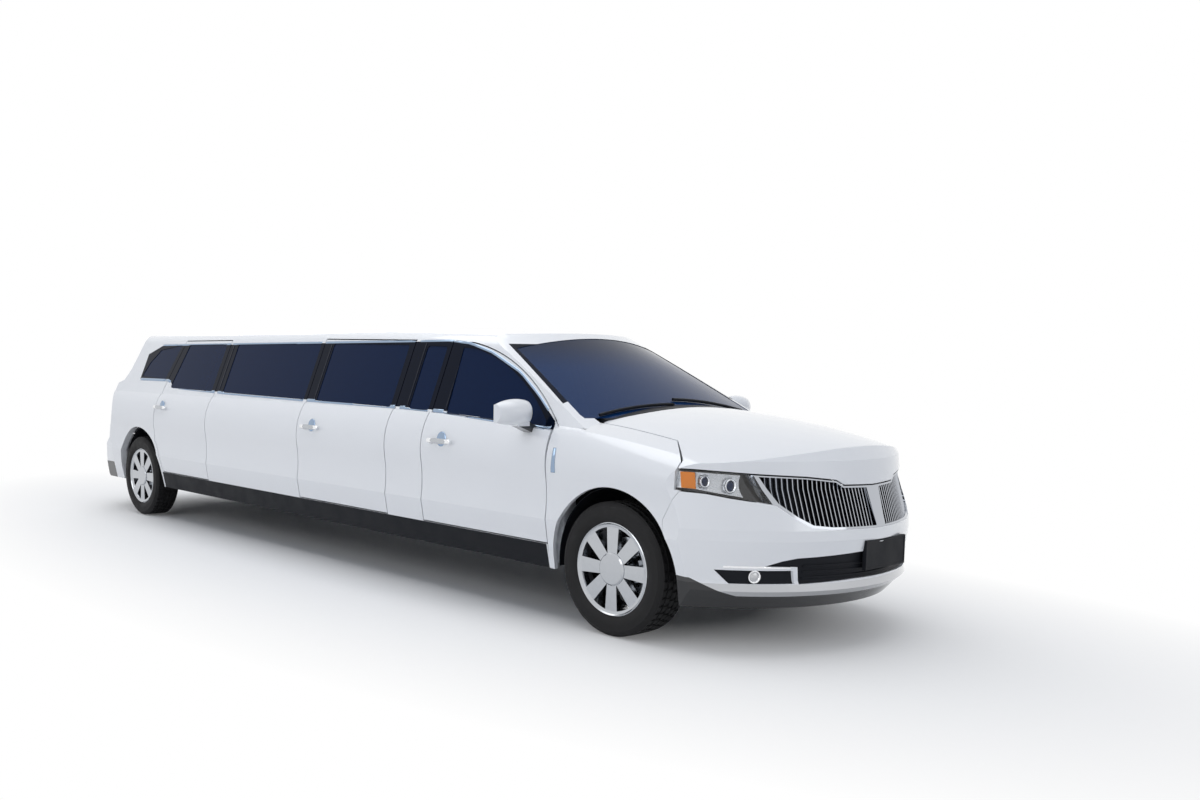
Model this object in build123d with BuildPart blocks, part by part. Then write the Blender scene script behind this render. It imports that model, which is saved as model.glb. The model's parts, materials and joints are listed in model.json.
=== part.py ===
"""Stretch limousine: a long wagon body on four wheels, with five side doors, a bonnet and a liftgate.

The frame has its origin on the ground at the middle of the length, X forward, Y to the car's left, Z up.
"""

import math
import os
from functools import cache

from build123d import *

os.makedirs("parts", exist_ok=True)

# Overall sizes
LENGTH = 8320
NOSE_X = LENGTH / 2
TAIL_X = -LENGTH / 2
WHEELBASE = 6043
FRONT_OVERHANG = 1060
FRONT_AXLE_X = NOSE_X - FRONT_OVERHANG
REAR_AXLE_X = FRONT_AXLE_X - WHEELBASE
TRACK = 1654
WHEEL_Y = TRACK / 2
SIDES = {"left": 1, "right": -1}

# Tyres and rims
TYRE_R = 370.5
TYRE_W = 235
RIM_R = 241
RIM_LIP_R = 257
RIM_W = 204
RIM_WALL = 9
HUB_R = 90
HUB_BORE_R = 35
DISC_R = 165
DISC_W = 22
DISC_IN = -26
HUB_OUT = 104
SPOKES = 8
RIM_FACE_R = 230
SPOKE_W = 86
SPOKE_IN_W = 66
SPOKE_T = 30
SPOKE_DROP = 9
RUNNING_FIT = 0.05
SEAT = 0.3

# Steering
KINGPIN_IN = 88
REAR_HUB_IN = 60
KINGPIN_R = 13
KNUCKLE_H = 84
KINGPIN_H = 110
SUBFRAME_Y = 440

# Cross-section of the body, the same all along the middle
SKIRT_BOTTOM_Z = 305
DOOR_BOTTOM_Z = 455
CREASE_Z = 592
FLANK_Z = 850
BELT_Z = 1160
GLASS_FOOT_Z = 1172
GLASS_LOW_Z = 1060
WINDOW_TOP_Z = 1608
RAIL_Z = 1622
RAIL_TOP_Z = 1704.6
ROOF_Z = 1727
SILL_Y = 905
SKIRT_Y = 937
CREASE_Y = 962
FLANK_Y = 964
BELT_Y = 893
GLASS_FOOT_Y = 880
RAIL_Y = 705
RAIL_TOP_Y = 594

# The roof and the glass bow down towards the front from this station
BOW_X = -100
BOW_R = 44000
BOW_ANGLE = 4.2

# Walls, gaps and glass
GAP = 8
DOOR_WALL = 70
FRAME_WALL = 40
SIDE_WALL = 60
ROOF_WALL = 45
FENDER_WALL = 26
BONNET_WALL = 32
BUMPER_WALL = 36
FLANGE = 12
FLANGE_STEP = 16
GLASS_T = 6
GLASS_DROP = 4
DOOR_HEAD = 30
WINDOW_CORNER_R = 22
SKIRT_T = 14
ROOF_JOINT_Y = 590
COWL_Z = 1172
COWL_Y = 690
COWL_SIDE_Y = 739
PILLAR_FOOT_Z = 1118
POST_T = 60
SKIRT_FRONT_X = 2600
SKIRT_REAR_X = -2470
SKIRT_TOP_Z = 446

# Liftgate and rear bumper
GATE_LOW_Y = 690
GATE_LOW_Z = 708
GATE_TOP_Y = 582
GATE_FRONT_X = -3420
REAR_BUMPER_X = -3560

# Bonnet, headlamps and grille
BONNET_Y = 730
BONNET_CORNER_X = 2820
BONNET_REAR_X = 2949
BONNET_EDGE_T = 14
BONNET_EDGE_W = 34
COWL_GAP = 14
LAMP_REAR_X = 3530
SLATS = 24
SLAT_PITCH = 25
SLAT_IN_Y = 62
SLAT_T = 7
SLAT_FRONT = 16
SLAT_DEPTH = 26

# Hinges of the bonnet and of the liftgate
BONNET_HINGE = (2720, 711, 1105)
BONNET_ARM_T = 22
GATE_HINGE = (GATE_FRONT_X + 70, 350, 1702)
GATE_TOP_GAP = 12
GATE_ARM_T = 36
LID_PIN_R = 6
LID_EYE_R = 12
LID_ARM_W = 16

# Door handles
HANDLE_LENGTH = 235
HANDLE_HEIGHT = 30
HANDLE_OUT = 20
HANDLE_T = 13
HANDLE_FOOT_X = 96
# Each door's handle: how far in from the back edge, its height, Y of the skin there
HANDLES = {"front": (205, 983, 964), "middle": (200, 993, 963), "rear": (125, 1040, 951)}

# Doors: name, front edge, back edge, sides that have one
DOORS = [
    ("front", 2608, 1450, ("left", "right")),
    ("middle", 1040, -80, ("right",)),
    ("rear", -1570, -2560, ("left", "right")),
]
HINGE_BACK = 80
HINGE_IN = 20
HINGE_Y = FLANK_Y - HINGE_IN
HINGE_HEIGHTS = (592, 980)
HINGE_PIN_R = 6
HINGE_POCKET = 40
HINGE_ARM = 28
HINGE_BOSS_R = 8
HINGE_RELIEF = 5
HINGE_BAR = 16
HINGE_TAB = 30
HINGE_TAB_IN = 40
HINGE_REACH = 96

# Wheel arches
ARCH_R = 448
FRONT_ARCH_Z = 372
REAR_ARCH_Z = 388
REAR_DOOR_ARCH = 48

# Windscreen: a cone about an upright axis
SCREEN_AXIS_X = 1174
SCREEN_FOOT_R = 1736
SCREEN_FOOT_Z = 1185
SCREEN_HEAD_R = 1040
SCREEN_HEAD_Z = 1575
SCREEN_T = 7

# Nose in plan at each height: how far the tip stands back
NOSE_PLAN = (560, 158, 975, 640)
NOSE_ARC_R = (NOSE_PLAN[0] ** 2 + NOSE_PLAN[1] ** 2) / (2 * NOSE_PLAN[1])
NOSE_LEVELS = [
    # (height, tip set back, share of the plan's curve)
    (230, 130, 1.0),
    (305, 60, 1.0),
    (345, 16, 1.0),
    (400, 26, 1.0),
    (600, 0, 1.0),
    (655, 4, 1.0),
    (860, 66, 1.0),
    (1000, 82, 1.0),
    (1100, 150, 1.0),
    (1300, 330, 1.0),
]

# Tail in plan in the same way
TAIL_PLAN = (520, 70, 985, 560)
TAIL_LEVELS = [
    (230, 130, 1.0),
    (330, 40, 1.0),
    (450, 8, 1.0),
    (640, 0, 1.0),
    (700, 70, 1.0),
    (960, 130, 1.0),
    (1130, 180, 1.0),
    (1235, 240, 1.05),
    (1270, 330, 1.3),
    (1365, 400, 1.6),
    (1500, 480, 1.8),
    (1800, 660, 2.0),
]

# Front end across the car, half sections along X
FRONT_SECTIONS = [
    # (x, sill y, crease y, flank y, flank z, shoulder y, shoulder z, top z)
    (2600, 905, 962, 964, 850, 908, 1112, 1245),
    (3100, 903, 960, 962, 850, 880, 1078, 1222),
    (3600, 895, 952, 954, 830, 850, 1000, 1163),
    (3950, 880, 940, 938, 780, 800, 925, 1090),
    (4250, 860, 925, 915, 720, 720, 830, 990),
]
FENDER_REAR_X = DOORS[0][1] + GAP



# Floor, bulkhead and liners
FLOOR_FRONT_X = 2560
FLOOR_REAR_X = -2350
FLOOR_Y = 850
FLOOR_Z = 330
RAIL_IN_Y = 340
FLOOR_T = 30
BULKHEAD_Z = 1090
CARGO_Z = 640
CARGO_REAR_X = -3900
WELL_Y = 600
LINER_T = 6
LINER_OUT_Y = 880
LINER_EYE_R = 200

# Cabin
DRIVER_Y = 400
SEAT_HALF = 250
DASH_Y = 740
DASH_REAR_X = FLOOR_FRONT_X - 30 - SEAT
COLUMN_LENGTH = 260
SEAT_FOOT_Z = FLOOR_Z + FLOOR_T + 50 + SEAT
FLOOR_SEAT_Y = 820
BENCH_DEPTH = 560
PARTITION_X = 1150

# Door mirrors and wipers
MIRROR_X = 2420
MIRROR_Y = 1062
MIRROR_Z = 1196
MIRROR_H = 150
MIRROR_HALF = 112
MIRROR_FOOT_Y = 900
WIPER_Z = 1188
WIPER_CROWN = 60
WIPER_SPREAD_Y = 600

def bow(x):
    """How far the roof and the window tops have come down at a station."""
    return max(0, x - BOW_X) ** 2 / (2 * BOW_R)


def sill_line(x):
    """Height of the windows' lower edge at a station."""
    return 1184 - 0.0125 * x - max(0, x - 900) ** 2 / 76000


def glass_y(z, x=BOW_X):
    """Y of the glass plane at a height, at a station."""
    lean = (GLASS_FOOT_Y - RAIL_Y) / (RAIL_Z - GLASS_FOOT_Z)
    return GLASS_FOOT_Y - (z + bow(x) - GLASS_FOOT_Z) * lean


def head_line(x):
    """Height of the windows' upper edge at a station."""
    return WINDOW_TOP_Z - bow(x)


def write(builder, name):
    builder.part.label = name
    export_step(builder.part, f"parts/{name}.step")


def outward(side):
    """Signed length that carries a sketch on the XZ plane out to one side of the car."""
    return -1200 * SIDES[side]


def lower_form(inset=0.0):
    """The long body below the belt, from the tail to the front doors."""
    with BuildPart() as form:
        with BuildSketch(Plane.YZ.offset(TAIL_X - 100)):
            with BuildLine():
                sill = Line((SILL_Y - inset, SKIRT_BOTTOM_Z), (SKIRT_Y - inset, DOOR_BOTTOM_Z - 5))
                lower = Line(sill @ 1, (CREASE_Y - inset, CREASE_Z))
                flank = ThreePointArc(lower @ 1, (CREASE_Y - 9 - inset, 705), (FLANK_Y - inset, FLANK_Z))
                shoulder = TangentArc(flank @ 1, (BELT_Y - inset, BELT_Z), tangent=flank % 1)
                Line(shoulder @ 1, (0, BELT_Z))
                Line((0, BELT_Z), (0, SKIRT_BOTTOM_Z))
                Line((0, SKIRT_BOTTOM_Z), sill @ 0)
            make_face()
            mirror(about=Plane.YZ)
        extrude(amount=DOORS[0][1] - TAIL_X + 100)
        with BuildSketch(Plane.XZ.offset(-1200)):
            with BuildLine():
                drop = (FENDER_REAR_X - 1000) ** 2 / 43000
                fall = ThreePointArc((1000, BELT_Z), (1800, BELT_Z - 800**2 / 43000), (FENDER_REAR_X, BELT_Z - drop))
                Polyline(fall @ 1, (FENDER_REAR_X, BELT_Z + 100), (1000, BELT_Z + 100), fall @ 0)
            make_face()
        extrude(amount=2400, mode=Mode.SUBTRACT)
    return form.part


def glass_section(inset):
    """The section of the glasshouse and roof, as a flat face."""
    lean = (GLASS_FOOT_Y - RAIL_Y) / (RAIL_Z - GLASS_FOOT_Z)
    across = inset * math.hypot(1, lean)
    crown = inset * ROOF_WALL / FRAME_WALL if inset > FLANGE else inset
    with BuildSketch() as section:
        with BuildLine():
            foot = (GLASS_FOOT_Y + (GLASS_FOOT_Z - GLASS_LOW_Z) * lean - across, GLASS_LOW_Z)
            glass = Line(foot, (RAIL_Y - across, RAIL_Z))
            rail = TangentArc(glass @ 1, (RAIL_TOP_Y - inset, RAIL_TOP_Z - crown), tangent=glass % 1)
            mirror(glass, about=Plane.YZ)
            mirror(rail, about=Plane.YZ)
            top = rail @ 1
            ThreePointArc(top, (0, ROOF_Z - crown), (-top.X, top.Y))
            Line(foot, (-foot[0], foot[1]))
        make_face()
    return section.sketch


def upper_form(inset=0.0):
    """The glasshouse and roof before the windscreen and the tail are cut."""
    with BuildPart() as form:
        with BuildSketch(Plane.YZ.offset(BOW_X)):
            add(glass_section(inset))
        extrude(amount=TAIL_X - 100 - BOW_X)
        with BuildSketch(Plane.YZ.offset(BOW_X)):
            add(glass_section(inset))
        revolve(axis=Axis((BOW_X, 0, ROOF_Z - BOW_R), (0, 1, 0)), revolution_arc=BOW_ANGLE)
    return form.part


def screen_form(inset=0.0):
    """All that lies behind the windscreen's outer face."""
    slope = (SCREEN_FOOT_R - SCREEN_HEAD_R) / (SCREEN_HEAD_Z - SCREEN_FOOT_Z)
    level = inset * math.hypot(1, slope)
    low_z, high_z = 900, 1800
    with BuildPart() as form:
        with BuildSketch(Plane.XZ):
            with BuildLine():
                low_r = SCREEN_FOOT_R + (SCREEN_FOOT_Z - low_z) * slope - level
                high_r = SCREEN_HEAD_R - (high_z - SCREEN_HEAD_Z) * slope - level
                Polyline(
                    (SCREEN_AXIS_X, low_z),
                    (SCREEN_AXIS_X + low_r, low_z),
                    (SCREEN_AXIS_X + high_r, high_z),
                    (SCREEN_AXIS_X, high_z),
                    close=True,
                )
            make_face()
        revolve(axis=Axis((SCREEN_AXIS_X, 0, 0), (0, 0, 1)))
        with BuildSketch(Plane.XY.offset(low_z)):
            with Locations((SCREEN_AXIS_X, 0)):
                Rectangle(SCREEN_AXIS_X - TAIL_X + 200, 2400, align=(Align.MAX, Align.CENTER))
        extrude(amount=high_z - low_z)
    return form.part


def plan_face(tip_x, sign, plan, share, base_x):
    """One level of the nose or the tail in plan, as a flat face."""
    mid_y, mid_back, corner_y, corner_back = plan
    with BuildSketch() as level:
        with BuildLine():
            mid_x = tip_x - sign * mid_back * share
            front = ThreePointArc((mid_x, -mid_y), (tip_x, 0), (mid_x, mid_y))
            corner = (tip_x - sign * corner_back * share, corner_y)
            wing = TangentArc(front @ 1, corner, tangent=front % 1)
            mirror(wing, about=Plane.XZ)
            Polyline(corner, (base_x, corner_y), (base_x, -corner_y), (corner[0], -corner_y))
        make_face()
    return level.sketch


def end_form(levels, sign, plan, base_x, inset=0.0):
    """The nose or the tail, ruled from level to level."""
    with BuildPart() as form:
        for z, back, share in levels:
            with BuildSketch(Plane.XY.offset(z)):
                add(plan_face(sign * (LENGTH / 2 - back - inset), sign, plan, share, base_x))
        loft(ruled=True)
    return form.part


def front_form(inset=0.0):
    """The bonnet and wings as one form, before the nose is cut."""
    with BuildPart() as form:
        for x, sill_y, crease_y, flank_y, flank_z, shoulder_y, shoulder_z, top_z in FRONT_SECTIONS:
            with BuildSketch(Plane.YZ.offset(x)):
                with BuildLine():
                    sill = Line((sill_y - inset, SKIRT_BOTTOM_Z - 60), (crease_y - inset, CREASE_Z))
                    low_y = min(crease_y, flank_y) - 7 - inset
                    flank = ThreePointArc(
                        sill @ 1, (low_y, (CREASE_Z + flank_z) / 2), (flank_y - inset, flank_z)
                    )
                    shoulder = TangentArc(
                        flank @ 1, (shoulder_y - inset, shoulder_z - inset / 2), tangent=flank % 1
                    )
                    mirror(sill, about=Plane.YZ)
                    mirror(flank, about=Plane.YZ)
                    mirror(shoulder, about=Plane.YZ)
                    edge = shoulder @ 1
                    ThreePointArc(edge, (0, top_z - inset), (-edge.X, edge.Y))
                    foot = sill @ 0
                    Line(foot, (-foot.X, foot.Y))
                make_face()
        loft()
    return form.part



def outline(points, radius=0.0):
    """A flat face from corner points, with its corners rounded."""
    with BuildSketch() as flat:
        with BuildLine():
            Polyline(*points, close=True)
        make_face()
        if radius:
            fillet(flat.vertices(), radius)
    return flat.sketch


def side_prism(face, side, start=0.0):
    """A face drawn in the side view, carried out through one side of the car."""
    with BuildPart() as prism:
        with BuildSketch(Plane.XZ.offset(-SIDES[side] * start)):
            add(face)
        extrude(amount=outward(side))
    return prism.part


def front_prism(face, x0, x1):
    """A face drawn in the front view, carried along the car."""
    with BuildPart() as prism:
        with BuildSketch(Plane.YZ.offset(x0)):
            add(face)
        extrude(amount=x1 - x0)
    return prism.part


def plan_prism(face, z0, z1):
    """A face drawn in plan, carried upwards."""
    with BuildPart() as prism:
        with BuildSketch(Plane.XY.offset(z0)):
            add(face)
        extrude(amount=z1 - z0)
    return prism.part


def block(x0, x1, y0, y1, z0, z1):
    """A plain box between two corners, kept apart from the part that is open."""
    centre = Pos((x0 + x1) / 2, (y0 + y1) / 2, (z0 + z1) / 2)
    return centre * Box(abs(x1 - x0), abs(y1 - y0), abs(z1 - z0), mode=Mode.PRIVATE)


def grown(face, amount):
    """A flat face made larger or smaller all round, with sharp corners."""
    if not amount:
        return face
    with BuildSketch() as flat:
        offset(face, amount=amount, kind=Kind.INTERSECTION)
    return flat.sketch


# Outlines of the doors in the side view
def front_door_face():
    x0, x1 = DOORS[0][1], DOORS[0][2]
    with BuildSketch() as flat:
        with BuildLine():
            foot = Polyline((x1, head_line(x1) + DOOR_HEAD), (x1, DOOR_BOTTOM_Z), (x0, DOOR_BOTTOM_Z), (x0, 1120))
            pillar = ThreePointArc(foot @ 1, (2190, 1428), (1650, head_line(1650) + DOOR_HEAD))
            Line(pillar @ 1, foot @ 0)
        make_face()
    return flat.sketch


def middle_door_face():
    x0, x1 = DOORS[1][1], DOORS[1][2]
    return outline(
        [
            (x0, DOOR_BOTTOM_Z),
            (x0, head_line(x0) + DOOR_HEAD),
            (x1, head_line(x1) + DOOR_HEAD),
            (x1, DOOR_BOTTOM_Z),
        ]
    )


def rear_door_face():
    x0, x1 = DOORS[2][1], DOORS[2][2]
    edge_r = ARCH_R + REAR_DOOR_ARCH
    low_x = REAR_AXLE_X + math.sqrt(edge_r**2 - (DOOR_BOTTOM_Z - REAR_ARCH_Z) ** 2)
    high_x = x1 - 25
    high_z = REAR_ARCH_Z + math.sqrt(edge_r**2 - (high_x - REAR_AXLE_X) ** 2)
    mid_angle = (math.atan2(DOOR_BOTTOM_Z - REAR_ARCH_Z, low_x - REAR_AXLE_X)
                 + math.atan2(high_z - REAR_ARCH_Z, high_x - REAR_AXLE_X)) / 2
    mid = (REAR_AXLE_X + edge_r * math.cos(mid_angle), REAR_ARCH_Z + edge_r * math.sin(mid_angle))
    with BuildSketch() as flat:
        with BuildLine():
            arch = ThreePointArc((low_x, DOOR_BOTTOM_Z), mid, (high_x, high_z))
            Polyline(
                arch @ 1,
                (x1, 1200),
                (x1 + 135, head_line(x1) + DOOR_HEAD),
                (x0, head_line(x0) + DOOR_HEAD),
                (x0, DOOR_BOTTOM_Z),
                arch @ 0,
            )
        make_face()
    return flat.sketch


DOOR_FACES = {"front": front_door_face(), "middle": middle_door_face(), "rear": rear_door_face()}


# Outlines of the windows in the side view
def pane(x0, x1, lean0=0.0, lean1=0.0):
    """A window between its lower front and back corners, its upper corners moved along by the leans."""
    return outline(
        [
            (x0, sill_line(x0)),
            (x0 + lean0, head_line(x0 + lean0)),
            (x1 + lean1, head_line(x1 + lean1)),
            (x1, sill_line(x1)),
        ],
        WINDOW_CORNER_R,
    )


def front_pane():
    with BuildSketch() as flat:
        with BuildLine():
            foot = Polyline((1566, head_line(1566)), (1592, sill_line(1592)), (2508, sill_line(2508)), (2500, 1150))
            pillar = ThreePointArc(foot @ 1, (2160, 1400), (1700, head_line(1700) - 6))
            Line(pillar @ 1, foot @ 0)
        make_face()
    return flat.sketch


def quarter_pane():
    return outline([(-2610, 1292), (-2490, 1606), (-2905, 1560), (-3050, 1440), (-3130, 1310)], 20)


DOOR_PANES = {
    "front": front_pane(),
    "middle": pane(985, 47),
    "rear": pane(-1632, -2448, 0, 112),
}
SIDE_PANES = {
    "left": [pane(1400, 1190), pane(1110, 47), pane(-130, -1430), quarter_pane()],
    "right": [pane(1400, 1190), pane(-130, -1430), quarter_pane()],
}

# The whole body's outer form, and the forms at depth inside it
TAIL_BASE_X = NOSE_X + 1000
NOSE_BASE_X = 2300


@cache
def glasshouse(inset=0.0):
    with BuildPart() as form:
        add(upper_form(inset))
        add(screen_form(inset), mode=Mode.INTERSECT)
    return form.part


def body_form(low_inset=0.0, high_inset=0.0, tail_inset=0.0):
    with BuildPart() as form:
        add(lower_form(low_inset))
        add(glasshouse(high_inset))
        add(end_form(TAIL_LEVELS, -1, TAIL_PLAN, TAIL_BASE_X, tail_inset), mode=Mode.INTERSECT)
    return form.part



@cache
def nose_solid(inset=0.0):
    with BuildPart() as form:
        add(front_form(inset))
        add(end_form(NOSE_LEVELS, 1, NOSE_PLAN, NOSE_BASE_X, inset), mode=Mode.INTERSECT)
    return form.part


def shell_between(outer, inner):
    with BuildPart() as shell:
        add(outer)
        add(inner, mode=Mode.SUBTRACT)
    return shell.part


def cut_out(source, keep=(), remove=()):
    """What is left of a form inside every region to keep and outside every region to remove."""
    with BuildPart() as piece:
        add(source)
        for region in keep:
            add(region, mode=Mode.INTERSECT)
        for region in remove:
            add(region, mode=Mode.SUBTRACT)
    return piece.part


def arch_drum(axle_x, arch_z, radius, inner_y=400.0):
    """The round space of the wheel arches of one axle, on both sides of the car."""
    with BuildPart() as drum:
        for side in SIDES:
            with BuildSketch(Plane.XZ.offset(-SIDES[side] * inner_y)):
                with Locations((axle_x, arch_z)):
                    Circle(radius)
                    with Locations((0, -radius)):
                        Rectangle(2 * radius, 2 * radius)
            extrude(amount=outward(side) * 0.6)
    return drum.part


BODY = body_form()
FLANGE_FORM = body_form(FLANGE, FLANGE, FLANGE)
SIDE_SHELL = shell_between(BODY, body_form(SIDE_WALL, FRAME_WALL, SIDE_WALL))
DOOR_SHELL = shell_between(BODY, body_form(DOOR_WALL, FRAME_WALL, SIDE_WALL))
GLASS_SHELL = shell_between(glasshouse(GLASS_DROP), glasshouse(GLASS_DROP + GLASS_T))
NOSE = nose_solid()
REAR_ARCH = arch_drum(REAR_AXLE_X, REAR_ARCH_Z, ARCH_R)
FRONT_ARCH = arch_drum(FRONT_AXLE_X, FRONT_ARCH_Z, ARCH_R)

# Windscreen opening in the front view, and the cowl under it

def screen_face(shrink=0.0):
    with BuildSketch() as flat:
        with BuildLine():
            foot = Line((792 - shrink, COWL_Z + shrink), (792 - shrink, 1192))
            post = Line(foot @ 1, (642 - shrink, 1572))
            mirror(foot, about=Plane.YZ)
            mirror(post, about=Plane.YZ)
            top = post @ 1
            ThreePointArc(top, (0, 1644 - shrink), (-top.X, top.Y))
            Line(foot @ 0, (-(foot @ 0).X, (foot @ 0).Y))
        make_face()
    return flat.sketch


# The liftgate in the rear view
def gate_face(shrink=0.0):
    points = [
        (GATE_LOW_Y, GATE_LOW_Z),
        (GATE_LOW_Y + 20, 960),
        (GATE_LOW_Y - 10, 1235),
        (GATE_TOP_Y, 1600),
        (GATE_TOP_Y, 1800),
    ]
    mirrored = [(-y, z) for y, z in reversed(points)]
    return grown(outline(points + mirrored), -shrink)


GATE_REGION = front_prism(gate_face(), TAIL_X - 50, GATE_FRONT_X)
GATE_OPENING = front_prism(gate_face(-GAP), TAIL_X - 50, GATE_FRONT_X + GATE_TOP_GAP)
SCREEN_OPENING = front_prism(screen_face(), 1500, 3200)


def bumper_side(grow=0.0):
    """The rear bumper in the side view."""
    face = outline(
        [
            (REAR_BUMPER_X, 200),
            (REAR_BUMPER_X, 640),
            (REAR_BUMPER_X - 140, GATE_LOW_Z - GAP),
            (TAIL_X - 100, GATE_LOW_Z - GAP),
            (TAIL_X - 100, 200),
        ]
    )
    with BuildPart() as prism:
        with BuildSketch(Plane.XZ.offset(-1200)):
            add(grown(face, grow))
        extrude(amount=2400)
    return prism.part


SKIRT_BAND = block(SKIRT_REAR_X, SKIRT_FRONT_X, -1000, 1000, SKIRT_BOTTOM_Z - 5, SKIRT_TOP_Z)
SKIRT_INNER = lower_form(SKIRT_T)


# Where the front posts may stand: behind the wings' skin, or in the foot of the windscreen pillars
with BuildPart() as post_room:
    add(nose_solid(BONNET_WALL))
    add(glasshouse(), mode=Mode.ADD)
    add(block(2500, 2900, -1000, 1000, 200, 1300), mode=Mode.INTERSECT)
POST_ROOM = post_room.part


def hinge_arms(side, front_x):
    """The car's halves of one door's two hinges: a post bracket, an arm and an upright pin each."""
    s = SIDES[side]
    axis_x = front_x - HINGE_BACK
    inner_y = HINGE_Y - HINGE_REACH
    tab_x = front_x + GAP
    neck = [
        (axis_x - HINGE_BOSS_R, HINGE_Y),
        (axis_x + HINGE_BOSS_R / 2, HINGE_Y),
        (axis_x + HINGE_BOSS_R / 2, inner_y + HINGE_BAR),
        (tab_x, inner_y + HINGE_BAR),
        (tab_x, HINGE_Y - HINGE_TAB_IN),
        (tab_x + HINGE_TAB, HINGE_Y - HINGE_TAB_IN),
        (tab_x + HINGE_TAB, inner_y),
        (axis_x - HINGE_BOSS_R, inner_y),
    ]
    with BuildPart() as arms:
        for z in HINGE_HEIGHTS:
            with Locations((axis_x, s * HINGE_Y, z)):
                Cylinder(HINGE_PIN_R, HINGE_POCKET + 24)
                Cylinder(HINGE_BOSS_R, HINGE_ARM)
            with BuildSketch(Plane.XY.offset(z - HINGE_ARM / 2)):
                add(outline([(x, s * y) for x, y in neck]))
            extrude(amount=HINGE_ARM)
    return arms.part


def hinge_pockets(side, front_x):
    """What the hinges take out of a door: the pockets, and the holes for the pins."""
    s = SIDES[side]
    axis_x = front_x - HINGE_BACK
    relief_y = HINGE_Y + HINGE_RELIEF
    inner_y = HINGE_Y - 2 * HINGE_REACH
    pocket = [
        (axis_x - 2 * HINGE_BOSS_R, HINGE_Y),
        (axis_x, HINGE_Y),
        (axis_x, relief_y),
        (front_x + 20, relief_y),
        (front_x + 20, inner_y),
        (axis_x - 2 * HINGE_BOSS_R, inner_y),
    ]
    with BuildPart() as pockets:
        for z in HINGE_HEIGHTS:
            with Locations((axis_x, s * HINGE_Y, z)):
                Cylinder(HINGE_PIN_R + RUNNING_FIT, HINGE_POCKET + 26)
                Cylinder(HINGE_BOSS_R + 4, HINGE_POCKET)
            with BuildSketch(Plane.XY.offset(z - HINGE_POCKET / 2)):
                add(outline([(x, s * y) for x, y in pocket]))
            extrude(amount=HINGE_POCKET)
    return pockets.part


def make_side(side):
    """One whole side of the body, with its door openings, windows, posts and rails."""
    s = SIDES[side]
    half = block(TAIL_X - 50, 3200, s * ROOF_JOINT_Y, s * 1200, 200, 1800)
    holes = [SCREEN_OPENING, GATE_OPENING, bumper_side(SEAT), REAR_ARCH]
    holes.append(block(FENDER_REAR_X, 3200, -1000, 1000, 200, PILLAR_FOOT_Z))
    holes.append(block(FENDER_REAR_X, 3200, s * 500, s * COWL_SIDE_Y, 200, COWL_Z))
    holes.append(cut_out(SKIRT_BAND, remove=[SKIRT_INNER]))
    for name, front_x, back_x, sides in DOORS:
        if side in sides:
            holes.append(side_prism(grown(DOOR_FACES[name], GAP), side, 300))
    for face in SIDE_PANES[side]:
        holes.append(side_prism(face, side, 300))
    with BuildPart() as panel:
        add(cut_out(SIDE_SHELL, keep=[half], remove=holes))
        for name, front_x, back_x, sides in DOORS:
            if side not in sides:
                continue
            add(hinge_arms(side, front_x))
        post_y = HINGE_Y - HINGE_REACH - 20
        post = block(
            FENDER_REAR_X + 4, FENDER_REAR_X + 4 + POST_T, s * (post_y - 45), s * (post_y + 45),
            SKIRT_BOTTOM_Z + 30, PILLAR_FOOT_Z + 50,
        )
        add(cut_out(post, keep=[POST_ROOM], remove=[FRONT_ARCH]))
        x, y, z = BONNET_HINGE
        bracket_y = y + BONNET_ARM_T / 2 + 7
        add(block(FENDER_REAR_X + 24, x + 16, s * bracket_y, s * (bracket_y + 76), z - 20, z + 14))
        with BuildSketch(Plane.XZ.offset(-s * (y - BONNET_ARM_T / 2 - 2))):
            with Locations((x, z)):
                Circle(LID_PIN_R)
        extrude(amount=-s * (BONNET_ARM_T + 20))
    return panel


def make_door(side, name, front_x):
    """A door as thick as the whole wall, with a thin rim all round it and its window cut."""
    face = DOOR_FACES[name]
    rim = cut_out(
        side_prism(grown(face, 30), side, 300),
        keep=[FLANGE_FORM],
        remove=[side_prism(grown(face, -FLANGE_STEP), side, 300)],
    )
    with BuildPart() as door:
        add(DOOR_SHELL)
        add(side_prism(face, side, 300), mode=Mode.INTERSECT)
        add(rim, mode=Mode.SUBTRACT)
        add(side_prism(DOOR_PANES[name], side, 300), mode=Mode.SUBTRACT)
        add(hinge_pockets(side, front_x), mode=Mode.SUBTRACT)
    return door


def make_panes(faces, side):
    """Window glass a little below the skin, a hair smaller than its hole."""
    with BuildPart() as panes:
        for face in faces:
            add(cut_out(GLASS_SHELL, keep=[side_prism(grown(face, -SEAT), side, 300)]))
    return panes


def make_handle(side, x, z, skin_y):
    """A pull handle that stands off the skin on two feet."""
    s = SIDES[side]
    bar_y = skin_y + HANDLE_OUT
    with BuildPart() as handle:
        with BuildSketch(Plane.XZ.offset(-s * bar_y)):
            with Locations((x, z)):
                SlotOverall(HANDLE_LENGTH, HANDLE_HEIGHT)
        extrude(amount=-s * HANDLE_T)
        chamfer(handle.faces().sort_by(Axis.Y)[-1 if s > 0 else 0].edges(), 4)
        for foot_x in (x - HANDLE_FOOT_X, x + HANDLE_FOOT_X):
            add(block(foot_x - 14, foot_x + 14, s * (skin_y - 30), s * (bar_y + 5), z - 9, z + 9))
        add(SKIN_CLEAR, mode=Mode.SUBTRACT)
    return handle


SKIN_CLEAR = lower_form(-SEAT)


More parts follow.
